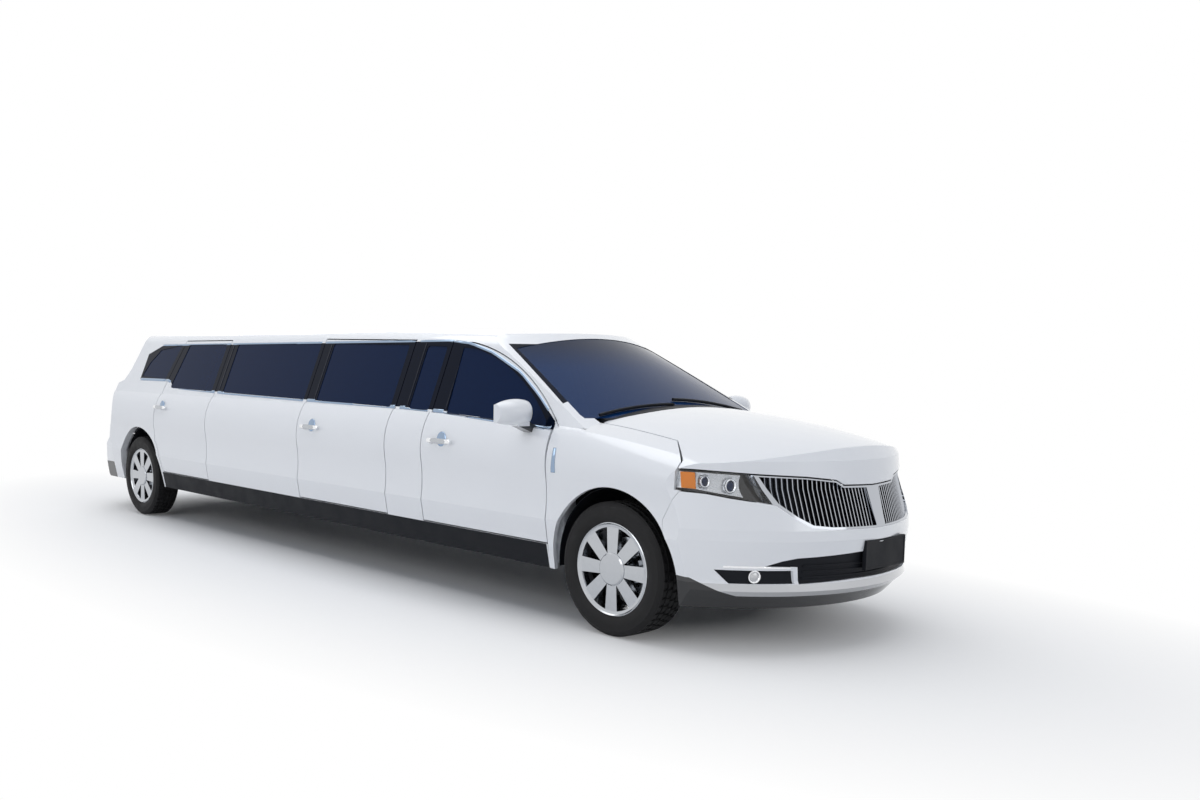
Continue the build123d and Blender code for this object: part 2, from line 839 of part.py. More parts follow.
# Regions of the front end
def bonnet_plan(grow=0.0):
    """The bonnet in plan, with its shut line moved out by an amount."""
    edge_y = BONNET_Y + grow
    lamp_x = LAMP_REAR_X + 10 - grow
    half = [(3380, edge_y + 5), (lamp_x, 885 + grow), (lamp_x + 10, 1100), (4300, 1100)]
    with BuildSketch() as flat:
        with BuildLine():
            rear = ThreePointArc(
                (BONNET_CORNER_X - grow, -edge_y), (BONNET_REAR_X - grow, 0), (BONNET_CORNER_X - grow, edge_y)
            )
            Polyline(rear @ 1, *half, *[(x, -y) for x, y in reversed(half)], rear @ 0)
        make_face()
    return flat.sketch


def bonnet_rear(shift):
    """The plan behind the bonnet's rear edge, with that edge moved forward."""
    edge_y = BONNET_Y + GAP
    with BuildSketch() as flat:
        with BuildLine():
            rear = ThreePointArc(
                (BONNET_CORNER_X + shift, -edge_y), (BONNET_REAR_X + shift, 0), (BONNET_CORNER_X + shift, edge_y)
            )
            Polyline(rear @ 1, (FENDER_REAR_X, edge_y), (FENDER_REAR_X, -edge_y), rear @ 0)
        make_face()
    return flat.sketch


def both_halves(points):
    """A closed outline symmetric about the car's middle, from the points of its left half."""
    return outline(points + [(-y, z) for y, z in reversed(points)])


BONNET_LIP = [(0, 872), (232, 879), (280, 905), (452, 925), (689, 940), (885, 957), (1100, 964)]
BUMPER_LIP = [(0, 650), (359, 657), (468, 668), (541, 715), (615, 781), (787, 814), (858, 833), (1100, 860)]


def above(points, grow=0.0):
    """The space above a front-view line, ahead of the front wheels."""
    line = [(y, z - grow) for y, z in points if y > 0]
    left = [(0, points[0][1] - grow)] + line + [(1100, 1400), (0, 1400)]
    with BuildPart() as prism:
        with BuildSketch(Plane.YZ.offset(3300)):
            add(outline(left))
            mirror(about=Plane.YZ)
        extrude(amount=1100)
    return prism.part


ABOVE_LIP = above(BONNET_LIP)
ABOVE_BUMPER = above(BUMPER_LIP)
BONNET_REGION = cut_out(
    plan_prism(bonnet_plan(), 860, 1400), remove=[cut_out(block(3300, 4400, -1200, 1200, 800, 1500), remove=[ABOVE_LIP])]
)
BONNET_OPENING = cut_out(
    plan_prism(bonnet_plan(GAP), 860, 1400),
    remove=[cut_out(block(3300, 4400, -1200, 1200, 800, 1500), remove=[above(BONNET_LIP, GAP)])],
)
GLASSHOUSE_CLEAR = glasshouse(-GAP)
BELOW_COWL = block(2000, 3200, -1000, 1000, 900, COWL_Z)


def bumper_corner(grow=0.0):
    face = outline([(3470, 200), (3470, 690), (3562, 852), (4400, 852), (4400, 200)])
    with BuildPart() as prism:
        with BuildSketch(Plane.XZ.offset(-1200)):
            add(grown(face, grow))
        extrude(amount=2400)
    return prism.part


LAMP_FACE_POINTS = [(690, 935), (885, 952), (1100, 958), (1100, 866), (858, 839), (787, 820), (627, 787)]


def lamp_region(grow=0.0):
    with BuildPart() as region:
        with BuildSketch(Plane.YZ.offset(LAMP_REAR_X - grow)):
            add(grown(outline(LAMP_FACE_POINTS), grow))
            mirror(about=Plane.YZ)
        extrude(amount=900)
    return region.part


def lid_arm(points, pivot, s, thick):
    """A bent arm in the side view from a pin's eye to a lid, on one side of the car."""
    x, y, z = pivot
    with BuildPart() as arm:
        with BuildSketch(Plane.XZ.offset(-(s * y + thick / 2))):
            with BuildLine() as path:
                Polyline((x, z), *points)
            trace(path.line, LID_ARM_W)
            with Locations((x, z)):
                Circle(LID_EYE_R)
                Circle(LID_PIN_R + RUNNING_FIT, mode=Mode.SUBTRACT)
        extrude(amount=thick)
    return arm.part


def make_bonnet():
    x, y, z = BONNET_HINGE
    with BuildPart() as bonnet:
        add(NOSE)
        add(nose_solid(BONNET_WALL), mode=Mode.SUBTRACT)
        add(BONNET_REGION, mode=Mode.INTERSECT)
        add(GLASSHOUSE_CLEAR, mode=Mode.SUBTRACT)
        add(
            cut_out(plan_prism(bonnet_rear(BONNET_EDGE_W), 860, 1400), keep=[nose_solid(BONNET_EDGE_T)]),
            mode=Mode.SUBTRACT,
        )
        for s in SIDES.values():
            add(lid_arm([(x + 80, z - 33), (x + 205, z + 13)], BONNET_HINGE, s, BONNET_ARM_T))
    return bonnet


def make_fenders():
    with BuildPart() as fenders:
        add(NOSE)
        add(nose_solid(FENDER_WALL), mode=Mode.SUBTRACT)
        add(block(FENDER_REAR_X, 3640, -1000, 1000, SKIRT_BOTTOM_Z, 1300), mode=Mode.INTERSECT)
        add(block(FENDER_REAR_X - 9, 2960, -COWL_SIDE_Y, COWL_SIDE_Y, 1000, 1300), mode=Mode.SUBTRACT)
        add(BONNET_OPENING, mode=Mode.SUBTRACT)
        add(bumper_corner(GAP / 4), mode=Mode.SUBTRACT)
        add(lamp_region(SEAT), mode=Mode.SUBTRACT)
        add(FRONT_ARCH, mode=Mode.SUBTRACT)
        add(glasshouse(-SEAT), mode=Mode.SUBTRACT)
    return fenders


INTAKE = [(175, 534), (534, 517), (601, 503), (672, 476), (530, 472), (515, 382), (181, 392)]
FOG = [(846, 454), (548, 454), (534, 385), (795, 384)]


def front_holes(shrink=0.0):
    """The middle intake and the two fog lamp openings in the front view."""
    with BuildSketch() as flat:
        add(grown(both_halves(INTAKE), -shrink))
        add(grown(outline(FOG), -shrink))
        mirror(about=Plane.YZ)
    return flat.sketch


def make_front_bumper():
    with BuildPart() as bumper:
        add(NOSE)
        add(nose_solid(BUMPER_WALL), mode=Mode.SUBTRACT)
        add(bumper_corner(), mode=Mode.INTERSECT)
        add(ABOVE_BUMPER, mode=Mode.SUBTRACT)
        add(FRONT_ARCH, mode=Mode.SUBTRACT)
        with BuildSketch(Plane.YZ.offset(3400)):
            add(front_holes())
        extrude(amount=1000, mode=Mode.SUBTRACT)
    return bumper


def make_lamps():
    with BuildPart() as lamps:
        add(nose_solid(2))
        add(nose_solid(90), mode=Mode.SUBTRACT)
        add(lamp_region(), mode=Mode.INTERSECT)
    return lamps


WING = [(40, 662), (352, 669), (458, 682), (528, 726), (600, 790), (668, 924), (452, 911), (283, 890), (235, 862), (58, 856)]


def wing_sketch(amount=0.0):
    with BuildSketch() as flat:
        add(grown(outline(WING), amount))
        mirror(about=Plane.YZ)
    return flat.sketch


def wing_span(y):
    """How low and how high the grille's opening reaches at a distance from the middle."""
    heights = []
    for (y0, z0), (y1, z1) in zip(WING, WING[1:] + WING[:1]):
        if min(y0, y1) <= y < max(y0, y1):
            heights.append(z0 + (z1 - z0) * (y - y0) / (y1 - y0))
    return min(heights), max(heights)


def nose_set_back(z):
    """How far the nose stands back at a height, in line between its levels."""
    for (z0, back0, _), (z1, back1, _) in zip(NOSE_LEVELS, NOSE_LEVELS[1:]):
        if z0 <= z < z1:
            return back0 + (back1 - back0) * (z - z0) / (z1 - z0)
    return 0


def grille_slat(y, s):
    """One upright slat: its front edge leans back with the nose."""
    low, high = wing_span(y)
    plan_drop = NOSE_ARC_R - math.sqrt(NOSE_ARC_R**2 - y**2)
    levels = [low - 3] + [level[0] for level in NOSE_LEVELS if low < level[0] < high] + [high + 3]
    front = [(LENGTH / 2 - nose_set_back(z) - plan_drop - SLAT_FRONT, z) for z in levels]
    with BuildPart() as slat:
        with BuildSketch(Plane.XZ.offset(-(s * y - SLAT_T / 2))):
            add(outline(front + [(x - SLAT_DEPTH, z) for x, z in reversed(front)]))
        extrude(amount=-SLAT_T)
    return slat.part


def make_grille():
    between = cut_out(
        block(3700, 4300, -690, 690, 600, 1000),
        keep=[above(BUMPER_LIP, -SEAT)],
        remove=[above(BONNET_LIP, GAP), lamp_region(SEAT)],
    )
    with BuildPart() as grille:
        add(cut_out(nose_solid(4), keep=[between], remove=[nose_solid(60)]))
        with BuildSketch(Plane.YZ.offset(3500)):
            add(wing_sketch())
        extrude(amount=800, mode=Mode.SUBTRACT)
        add(cut_out(front_prism(wing_sketch(4), 3500, 4300), keep=[nose_solid(48)], remove=[nose_solid(60)]))
        for number in range(SLATS):
            for s in SIDES.values():
                add(grille_slat(SLAT_IN_Y + number * SLAT_PITCH, s))
    return grille


def make_lower_grille():
    """The dark grille of the intake with its bars, and a bezel for each fog lamp."""
    with BuildPart() as lower:
        with BuildSketch(Plane.YZ.offset(3500)):
            add(front_holes(SEAT))
        extrude(amount=900)
        add(nose_solid(BONNET_EDGE_T), mode=Mode.INTERSECT)
        add(nose_solid(48), mode=Mode.SUBTRACT)
    return lower


def make_rear_bumper():
    with BuildPart() as bumper:
        add(SIDE_SHELL)
        add(bumper_side(), mode=Mode.INTERSECT)
        add(REAR_ARCH, mode=Mode.SUBTRACT)
    return bumper


def make_gate():
    with BuildPart() as gate:
        add(SIDE_SHELL)
        add(GATE_REGION, mode=Mode.INTERSECT)
        add(block(GATE_FRONT_X, TAIL_X - 50, -900, 900, GATE_LOW_Z, 1900), mode=Mode.INTERSECT)
        add(front_prism(gate_window(), TAIL_X - 50, -3000), mode=Mode.SUBTRACT)
        add(TAIL_LAMP_SOLID, mode=Mode.SUBTRACT)
        x, y, z = GATE_HINGE
        for s in SIDES.values():
            end_x = GATE_FRONT_X - 55
            add(lid_arm([(x, z - 66), (end_x, z - 66), (end_x, z - 12)], GATE_HINGE, s, GATE_ARM_T))
    return gate


def gate_window(shrink=0.0):
    points = [(GATE_LOW_Y - 80, 1245), (GATE_LOW_Y - 60, 1262), (GATE_TOP_Y - 55, 1560), (GATE_TOP_Y - 75, 1590)]
    return grown(both_halves(points), -shrink)


TAIL_LAMP_SOLID = cut_out(
    SIDE_SHELL, keep=[block(TAIL_X - 50, -3600, -GATE_LOW_Y + 12, GATE_LOW_Y - 12, 985, 1090)], remove=[body_form(28, 28, 28)]
)


# Wheels
def wheel_plane(x, side, out=0.0):
    """A plane square to one wheel's axle: its normal points out of the car."""
    s = SIDES[side]
    return Plane(origin=(x, s * (WHEEL_Y + out), TYRE_R), x_dir=(1, 0, 0), z_dir=(0, s, 0))


def wheel_profile_plane(x, side):
    """A plane through the axle: x is the radius, y points out of the car."""
    s = SIDES[side]
    return Plane(origin=(x, s * WHEEL_Y, TYRE_R), x_dir=(1, 0, 0), z_dir=(0, 0, s))


def axle_line(x, side):
    s = SIDES[side]
    return Axis((x, s * WHEEL_Y, TYRE_R), (0, s, 0))


def make_tyre(x, side):
    """A tyre as a solid ring with its tread, shoulders, walls and beads."""
    half = TYRE_W / 2
    with BuildPart() as tyre:
        with BuildSketch(wheel_profile_plane(x, side)):
            with BuildLine():
                bead = Polyline((RIM_R + SEAT, -RIM_W / 2 + 14), (RIM_R + SEAT, RIM_W / 2 - 14))
                foot = Line(bead @ 1, (RIM_LIP_R + 4, RIM_W / 2 - 8))
                wall = ThreePointArc(foot @ 1, (RIM_LIP_R + 58, half), (TYRE_R - 24, half - 12))
                shoulder = ThreePointArc(wall @ 1, (TYRE_R - 8, half - 20), (TYRE_R - 3, half - 34))
                tread = ThreePointArc(shoulder @ 1, (TYRE_R, 0), (TYRE_R - 3, -half + 34))
                mirror(foot, about=Plane.XZ)
                mirror(wall, about=Plane.XZ)
                mirror(shoulder, about=Plane.XZ)
            make_face()
        revolve(axis=axle_line(x, side))
    return tyre


def spoke_face():
    """One spoke from the front: narrow at the hub, broad where it meets the rim."""
    inner, outer = HUB_R - 30, RIM_FACE_R + 3
    return outline([(-SPOKE_IN_W / 2, inner), (-SPOKE_W / 2, outer), (SPOKE_W / 2, outer), (SPOKE_IN_W / 2, inner)])


def make_rim(x, side):
    """A rim with a barrel, a face of broad spokes, a round hub and the brake disc on its back."""
    half = RIM_W / 2
    bore = HUB_BORE_R + RUNNING_FIT
    axle = axle_line(x, side)
    with BuildPart() as rim:
        with BuildSketch(wheel_profile_plane(x, side)):
            with BuildLine():
                Polyline(
                    (RIM_R, -half + 12), (RIM_LIP_R, -half + 8), (RIM_LIP_R, -half), (RIM_R - RIM_WALL, -half),
                    (RIM_R - RIM_WALL - 10, -30), (RIM_R - RIM_WALL - 10, half - 46), (RIM_FACE_R - 4, half - 16),
                    (RIM_FACE_R, half - 7), (RIM_LIP_R - 12, half - 4), (RIM_LIP_R - 5, half + 3), (RIM_LIP_R, half),
                    (RIM_LIP_R, half - 8), (RIM_R, half - 12), close=True,
                )
            make_face()
            with BuildLine():
                Polyline(
                    (bore, -10), (DISC_R - 60, -10), (DISC_R - 60, DISC_IN), (DISC_R, DISC_IN),
                    (DISC_R, DISC_IN - DISC_W), (DISC_R - 72, DISC_IN - DISC_W), (DISC_R - 72, -22), (bore, -22),
                    close=True,
                )
            make_face()
            with BuildLine():
                Polyline(
                    (0, HUB_OUT - 30), (bore, HUB_OUT - 30), (bore, -12), (HUB_R - 30, -12), (HUB_R, HUB_OUT - 40),
                    (HUB_R, HUB_OUT - 6), (HUB_R - 8, HUB_OUT), (0, HUB_OUT), close=True,
                )
            make_face()
        revolve(axis=axle)
        with BuildSketch(wheel_plane(x, side, HUB_OUT - SPOKE_DROP)):
            with PolarLocations(0, SPOKES, start_angle=90):
                add(Rot(0, 0, -90) * spoke_face())
        extrude(amount=-SPOKE_T)
    return rim


def make_knuckle(x, side):
    """A front knuckle: an upright on the kingpin, the stub axle, the steering arm and the caliper."""
    s = SIDES[side]
    pin_y = s * (WHEEL_Y - KINGPIN_IN)
    with BuildPart() as knuckle:
        with Locations((x, pin_y, TYRE_R)):
            Cylinder(30, 2 * KNUCKLE_H)
            Cylinder(KINGPIN_R, 2 * KINGPIN_H)
        with BuildSketch(wheel_plane(x, side, -KINGPIN_IN)):
            Circle(48)
        extrude(amount=22)
        with BuildSketch(wheel_plane(x, side, -KINGPIN_IN)):
            Circle(HUB_BORE_R)
        extrude(amount=KINGPIN_IN + HUB_OUT - 32)
        add(caliper(x, side, -1))
        with BuildSketch(wheel_plane(x, side, -KINGPIN_IN - 8)):
            with Locations((-75, 0)):
                Rectangle(150, 34)
        extrude(amount=36)
    return knuckle


def caliper(x, side, along):
    """A brake caliper that straddles the disc, on its carrier."""
    with BuildPart() as body:
        inner = DISC_IN - DISC_W - 5
        with BuildSketch(wheel_plane(x, side, inner - 18)):
            with Locations((along * 150, 0)):
                Rectangle(60, 170)
        extrude(amount=DISC_W + 10 + 18 + 14)
        with BuildSketch(wheel_plane(x, side, inner)):
            Circle(DISC_R + 5)
        extrude(amount=DISC_W + 10, mode=Mode.SUBTRACT)
    return body.part


def make_front_axle():
    """The front crossmember with two arms above and two below each kingpin."""
    with BuildPart() as axle:
        with BuildSketch(Plane.XZ.offset(-SUBFRAME_Y)):
            with Locations((FRONT_AXLE_X, TYRE_R - 100)):
                Rectangle(240, 70)
        extrude(amount=2 * SUBFRAME_Y)
        for side, s in SIDES.items():
            with Locations((FRONT_AXLE_X, s * SUBFRAME_Y, TYRE_R)):
                Box(70, 70, 270)
            pin_y = s * (WHEEL_Y - KINGPIN_IN)
            for z in (-1, 1):
                with BuildSketch(Plane.XY.offset(TYRE_R + z * (KNUCKLE_H + 14) - 11)):
                    with BuildLine():
                        Polyline(
                            (FRONT_AXLE_X - 30, s * (SUBFRAME_Y - 10)),
                            (FRONT_AXLE_X + 30, s * (SUBFRAME_Y - 10)),
                            (FRONT_AXLE_X + 22, pin_y),
                            (FRONT_AXLE_X - 22, pin_y),
                            close=True,
                        )
                    make_face()
                    with Locations((FRONT_AXLE_X, pin_y)):
                        Circle(KINGPIN_R + 16)
                        Circle(KINGPIN_R + RUNNING_FIT, mode=Mode.SUBTRACT)
                extrude(amount=22)
    return axle


def make_rear_axle():
    """The rear beam, its stub axles, the calipers, two trailing arms and the final drive."""
    with BuildPart() as axle:
        with BuildSketch(Plane.XZ.offset(-WHEEL_Y + 62)):
            with Locations((REAR_AXLE_X, TYRE_R)):
                Circle(42)
        extrude(amount=2 * (WHEEL_Y - 62))
        with Locations((REAR_AXLE_X, 0, TYRE_R)):
            Sphere(130)
        for side, s in SIDES.items():
            with BuildSketch(wheel_plane(REAR_AXLE_X, side, -64)):
                Circle(HUB_BORE_R)
            extrude(amount=64 + HUB_OUT - 32)
            with BuildSketch(wheel_plane(REAR_AXLE_X, side, -REAR_HUB_IN - 40)):
                Circle(60)
            extrude(amount=40)
            add(caliper(REAR_AXLE_X, side, 1))
            with BuildSketch(wheel_plane(REAR_AXLE_X, side, -REAR_HUB_IN - 22)):
                with Locations((75, 0)):
                    Rectangle(150, 40)
            extrude(amount=20)
            add(block(REAR_AXLE_X - 50, FLOOR_REAR_X - SEAT, s * 535, s * 585, TYRE_R - 30, TYRE_R + 30))
            with Locations((REAR_AXLE_X, s * 540, TYRE_R)):
                Cylinder(52, CARGO_Z - 24 - SEAT - TYRE_R, align=(Align.CENTER, Align.CENTER, Align.MIN))
    return axle


def make_floor():
    """The floor, its tunnel, the bulkhead, the raised rear floor and the rails at both ends."""
    with BuildPart() as floor:
        add(block(FLOOR_REAR_X, FLOOR_FRONT_X, -FLOOR_Y, FLOOR_Y, FLOOR_Z, FLOOR_Z + FLOOR_T))
        add(block(FLOOR_REAR_X, FLOOR_FRONT_X, -150, 150, FLOOR_Z + FLOOR_T - 1, FLOOR_Z + 130))
        add(block(FLOOR_REAR_X - 5, FLOOR_FRONT_X + 5, -120, 120, FLOOR_Z - 5, FLOOR_Z + 100), mode=Mode.SUBTRACT)
        add(block(FLOOR_FRONT_X - 30, FLOOR_FRONT_X, -780, 780, FLOOR_Z + 5, BULKHEAD_Z))
        add(block(FLOOR_FRONT_X - 31, FLOOR_FRONT_X + 1, -119, 119, FLOOR_Z - 5, FLOOR_Z + 99), mode=Mode.SUBTRACT)
        add(block(FLOOR_REAR_X, FLOOR_REAR_X + 30, -FLOOR_Y, FLOOR_Y, FLOOR_Z + 5, CARGO_Z))
        add(block(FLOOR_REAR_X - 1, FLOOR_REAR_X + 31, -119, 119, FLOOR_Z - 5, FLOOR_Z + 99), mode=Mode.SUBTRACT)
        add(block(CARGO_REAR_X, FLOOR_REAR_X + 30, -WELL_Y, WELL_Y, CARGO_Z - 24, CARGO_Z))
        for s in SIDES.values():
            add(block(FLOOR_FRONT_X - 10, 3830, s * RAIL_IN_Y, s * (SUBFRAME_Y - 35 - SEAT), FLOOR_Z + 30, FLOOR_Z + 110))
            add(block(CARGO_REAR_X, FLOOR_REAR_X + 10, s * 420, s * 470, CARGO_Z - 110, CARGO_Z - 10))
        add(block(3790, 3850, -560, 560, FLOOR_Z + 30, FLOOR_Z + 110))
        for x in (-1700, -700, 300, 1300):
            for s in SIDES.values():
                add(block(x - 40, x + 40, s * 140, s * FLOOR_Y, FLOOR_Z + FLOOR_T - 1, FLOOR_Z + FLOOR_T + 50))
    return floor


TUNNEL_SPACE = block(FLOOR_REAR_X, FLOOR_FRONT_X, -150 - SEAT, 150 + SEAT, FLOOR_Z, FLOOR_Z + 130 + SEAT)


def arch_liner(axle_x, arch_z, inner_y):
    """Half-round liners inside the wheel arches of one axle."""
    with BuildPart() as liners:
        for side, s in SIDES.items():
            with BuildSketch(Plane.XZ.offset(-s * inner_y)):
                with Locations((axle_x, arch_z)):
                    Circle(ARCH_R - SEAT)
                    Circle(ARCH_R - SEAT - LINER_T, mode=Mode.SUBTRACT)
                with Locations((axle_x, arch_z - 300)):
                    Rectangle(1200, 600 - 100, mode=Mode.SUBTRACT)
            extrude(amount=-s * (LINER_OUT_Y - inner_y))
            with BuildSketch(Plane.XZ.offset(-s * inner_y)):
                with Locations((axle_x, arch_z)):
                    Circle(ARCH_R - SEAT)
                    Circle(LINER_EYE_R, mode=Mode.SUBTRACT)
                with Locations((axle_x, arch_z - 300)):
                    Rectangle(1200, 600 - 100, mode=Mode.SUBTRACT)
            extrude(amount=-s * LINER_T)
    return liners.part


def make_dashboard():
    """The dashboard across the car, with its cowl over the dials and its centre stack."""
    with BuildPart() as dash:
        with BuildSketch(Plane.XZ.offset(-DASH_Y)):
            with BuildLine():
                low = Polyline((2380, 1010), (2330, 880), (2440, 720), (DASH_REAR_X, 720), (DASH_REAR_X, 1080))
                top = ThreePointArc(low @ 1, (2440, 1075), (2385, 1050))
                Line(top @ 1, low @ 0)
            make_face()
        extrude(amount=2 * DASH_Y)
        with BuildSketch(Plane.XZ.offset(-(DRIVER_Y + 190))):
            with Locations((2390, 1050)):
                Ellipse(85, 55)
        extrude(amount=380)
        add(block(2200, 2500, -130, 130, 500, 900))
        add(steering_column(SEAT), mode=Mode.SUBTRACT)
    return dash


def steering_rake():
    """The plane of the steering wheel, its normal towards the driver."""
    return Plane(origin=(2190, DRIVER_Y, 985), x_dir=(0, 1, 0), z_dir=(-1, 0, 0.45))


def steering_column(grow=0.0):
    with BuildPart() as column:
        with BuildSketch(steering_rake().offset(-4)):
            Circle(34 + grow)
        extrude(amount=-COLUMN_LENGTH - grow)
    return column.part


def make_steering_wheel():
    """The steering wheel on its column, with four spokes and a hub."""
    rake = steering_rake()
    with BuildPart() as wheel:
        with BuildSketch(Plane(origin=rake.origin, x_dir=rake.x_dir, z_dir=rake.y_dir)):
            with Locations((185, 0)):
                Circle(15)
        revolve(axis=Axis(rake.origin, rake.z_dir))
        with BuildSketch(rake.offset(-8)):
            Circle(62)
            with PolarLocations(0, 4, start_angle=10):
                with Locations((110, 0)):
                    Rectangle(140, 34)
        extrude(amount=18)
        add(steering_column())
    return wheel


def make_front_seats():
    """Two front seats: a base, a back and a headrest each, as one closed form."""
    with BuildPart() as seats:
        for y in (DRIVER_Y, -DRIVER_Y):
            with BuildSketch(Plane.XZ.offset(-(y + SEAT_HALF))):
                with BuildLine():
                    Polyline((1990, FLOOR_Z + 32), (2010, 640), (1990, 690), (1560, 640), (1330, 1250), (1240, 1240), (1420, 600), (1480, FLOOR_Z + 32), close=True)
                make_face()
            extrude(amount=2 * SEAT_HALF)
            with Locations((1258, y, 1340)):
                Box(110, 250, 170)
            with Locations((1290, y, 1250)):
                Box(20, 160, 80)
    return seats


def make_lounge_seats():
    """A long bench down the left side and one across the back, each with its back rest."""
    with BuildPart() as seats:
        add(bench(-1500, 1000, FLOOR_SEAT_Y, BENCH_DEPTH, 1))
        with BuildSketch(Plane.XZ.offset(-560)):
            with BuildLine():
                Polyline(
                    (-1640, SEAT_FOOT_Z), (-1640, 640), (-1700, 680), (-2060, 650), (-2190, 1190),
                    (-2290, 1190), (-2290, 700), (-2290, SEAT_FOOT_Z), close=True,
                )
            make_face()
        extrude(amount=1120)
        add(TUNNEL_SPACE, mode=Mode.SUBTRACT)
    return seats


def bench(x0, x1, back_y, depth, s):
    with BuildPart() as seat:
        with BuildSketch(Plane.YZ.offset(x0)):
            with BuildLine():
                Polyline(
                    (s * (back_y - depth), SEAT_FOOT_Z), (s * (back_y - depth), 640), (s * (back_y - depth + 60), 680),
                    (s * (back_y - 170), 655), (s * (back_y - 130), 1150), (s * (back_y - 35), 1150), (s * back_y, 700),
                    (s * back_y, SEAT_FOOT_Z), close=True,
                )
            make_face()
        extrude(amount=x1 - x0)
    return seat.part


def make_partition():
    """The wall between driver and lounge, with its window frame, and the low cabinet beside it."""
    with BuildPart() as wall:
        with BuildSketch(Plane.YZ.offset(PARTITION_X)):
            with BuildLine():
                Polyline((0, SEAT_FOOT_Z), (780, SEAT_FOOT_Z), (780, 1100), (600, 1560), (0, 1560))
                Line((0, 1560), (0, SEAT_FOOT_Z))
            make_face()
            mirror(about=Plane.YZ)
            with Locations((0, 1330)):
                Rectangle(1000, 300, mode=Mode.SUBTRACT)
        extrude(amount=40)
        add(block(-1450, -200, -830, -560, SEAT_FOOT_Z, 960))
        add(block(-1400, -250, -561, -480, SEAT_FOOT_Z, 900), mode=Mode.SUBTRACT)
        add(TUNNEL_SPACE, mode=Mode.SUBTRACT)
    return wall


def make_mirror(side):
    """A door mirror: a shell with a hollow face for its glass, on an arm from the door."""
    s = SIDES[side]
    with BuildPart() as mirror_piece:
        with BuildSketch(Plane.XZ.offset(-s * (MIRROR_Y - MIRROR_HALF))):
            with Locations((MIRROR_X, MIRROR_Z)):
                Ellipse(62, MIRROR_H / 2 - 6)
        with BuildSketch(Plane.XZ.offset(-s * MIRROR_Y)):
            with Locations((MIRROR_X + 6, MIRROR_Z + 3)):
                Ellipse(82, MIRROR_H / 2)
        with BuildSketch(Plane.XZ.offset(-s * (MIRROR_Y + MIRROR_HALF))):
            with Locations((MIRROR_X - 8, MIRROR_Z - 4)):
                Ellipse(40, MIRROR_H / 2 - 22)
        loft()
        add(block(MIRROR_X - 120, MIRROR_X - 24, s * (MIRROR_Y - 150), s * (MIRROR_Y + 150), 1000, 1400), mode=Mode.SUBTRACT)
        with BuildSketch(Plane.YZ.offset(MIRROR_X - 30)):
            with BuildLine():
                Polyline(
                    (s * (MIRROR_FOOT_Y - 30), 1056),
                    (s * (MIRROR_FOOT_Y - 30), 1104),
                    (s * (MIRROR_Y - 50), MIRROR_Z - 30),
                    (s * (MIRROR_Y + 20), MIRROR_Z - 30),
                    (s * (MIRROR_Y - 20), MIRROR_Z - 76),
                    close=True,
                )
            make_face()
        extrude(amount=74)
        add(SKIN_CLEAR, mode=Mode.SUBTRACT)
        add(glasshouse(-SEAT), mode=Mode.SUBTRACT)
    return mirror_piece


def wiper_point(y, lift, out=0):
    """A point on a wiper's line: it follows the crowned cowl across the car."""
    z = WIPER_Z + WIPER_CROWN * (1 - (y / WIPER_SPREAD_Y) ** 2) + lift
    return Vector(screen_x(y, z) + out, y, z)


def make_wipers():
    """Two wipers at rest along the foot of the windscreen."""
    with BuildPart() as wipers:
        for y0, y1 in ((560, -60), (-120, -700)):
            pivot = wiper_point(y0, 0, 8)
            with BuildLine() as path:
                ThreePointArc(pivot, wiper_point((y0 + y1) / 2, 12), wiper_point(y1, 24))
            with BuildSketch(Plane(origin=pivot, z_dir=path.line % 0)):
                Circle(9)
            sweep()
            with Locations(Pos(pivot.X, pivot.Y, pivot.Z)):
                Cylinder(12, 9)
                Cylinder(10, 60, align=(Align.CENTER, Align.CENTER, Align.MAX))
        add(NOSE, mode=Mode.SUBTRACT)
        add(glasshouse(), mode=Mode.SUBTRACT)
    return wipers


def screen_x(y, z):
    """X of the windscreen's face at a point across and a height, 26 mm proud of it."""
    slope = (SCREEN_FOOT_R - SCREEN_HEAD_R) / (SCREEN_HEAD_Z - SCREEN_FOOT_Z)
    radius = SCREEN_FOOT_R - (z - SCREEN_FOOT_Z) * slope + 20
    return SCREEN_AXIS_X + math.sqrt(radius**2 - y**2)


# Body panels
for side in SIDES:
    write(make_side(side), f"body_side_{side}")

for name, front_x, back_x, sides in DOORS:
    for side in sides:
        write(make_door(side, name, front_x), f"door_{name}_{side}")
        write(make_panes([DOOR_PANES[name]], side), f"door_glass_{name}_{side}")
        handle_in, handle_z, handle_y = HANDLES[name]
        write(make_handle(side, back_x + handle_in, handle_z, handle_y), f"door_handle_{name}_{side}")

with BuildPart() as side_windows:
    for side in SIDES:
        add(make_panes(SIDE_PANES[side], side).part)
write(side_windows, "side_windows")

with BuildPart() as windscreen:
    add(glasshouse(3))
    add(glasshouse(3 + SCREEN_T), mode=Mode.SUBTRACT)
    add(front_prism(screen_face(SEAT), 1500, 3200), mode=Mode.INTERSECT)
write(windscreen, "windscreen")

with BuildPart() as roof_panel:
    add(SIDE_SHELL)
    add(block(GATE_FRONT_X + GATE_TOP_GAP, 3200, -ROOF_JOINT_Y, ROOF_JOINT_Y, 1500, 1800), mode=Mode.INTERSECT)
    add(SCREEN_OPENING, mode=Mode.SUBTRACT)
    hinge_x, hinge_y, hinge_z = GATE_HINGE
    for s in SIDES.values():
        pocket = (GATE_FRONT_X - 10, hinge_x + 20, s * hinge_y - 26, s * hinge_y + 26, hinge_z - 80, hinge_z + 15)
        add(block(*pocket), mode=Mode.SUBTRACT)
        with BuildSketch(Plane.XZ.offset(-(s * hinge_y + 30))):
            with Locations((hinge_x, hinge_z)):
                Circle(LID_PIN_R)
        extrude(amount=60)
write(roof_panel, "roof_panel")

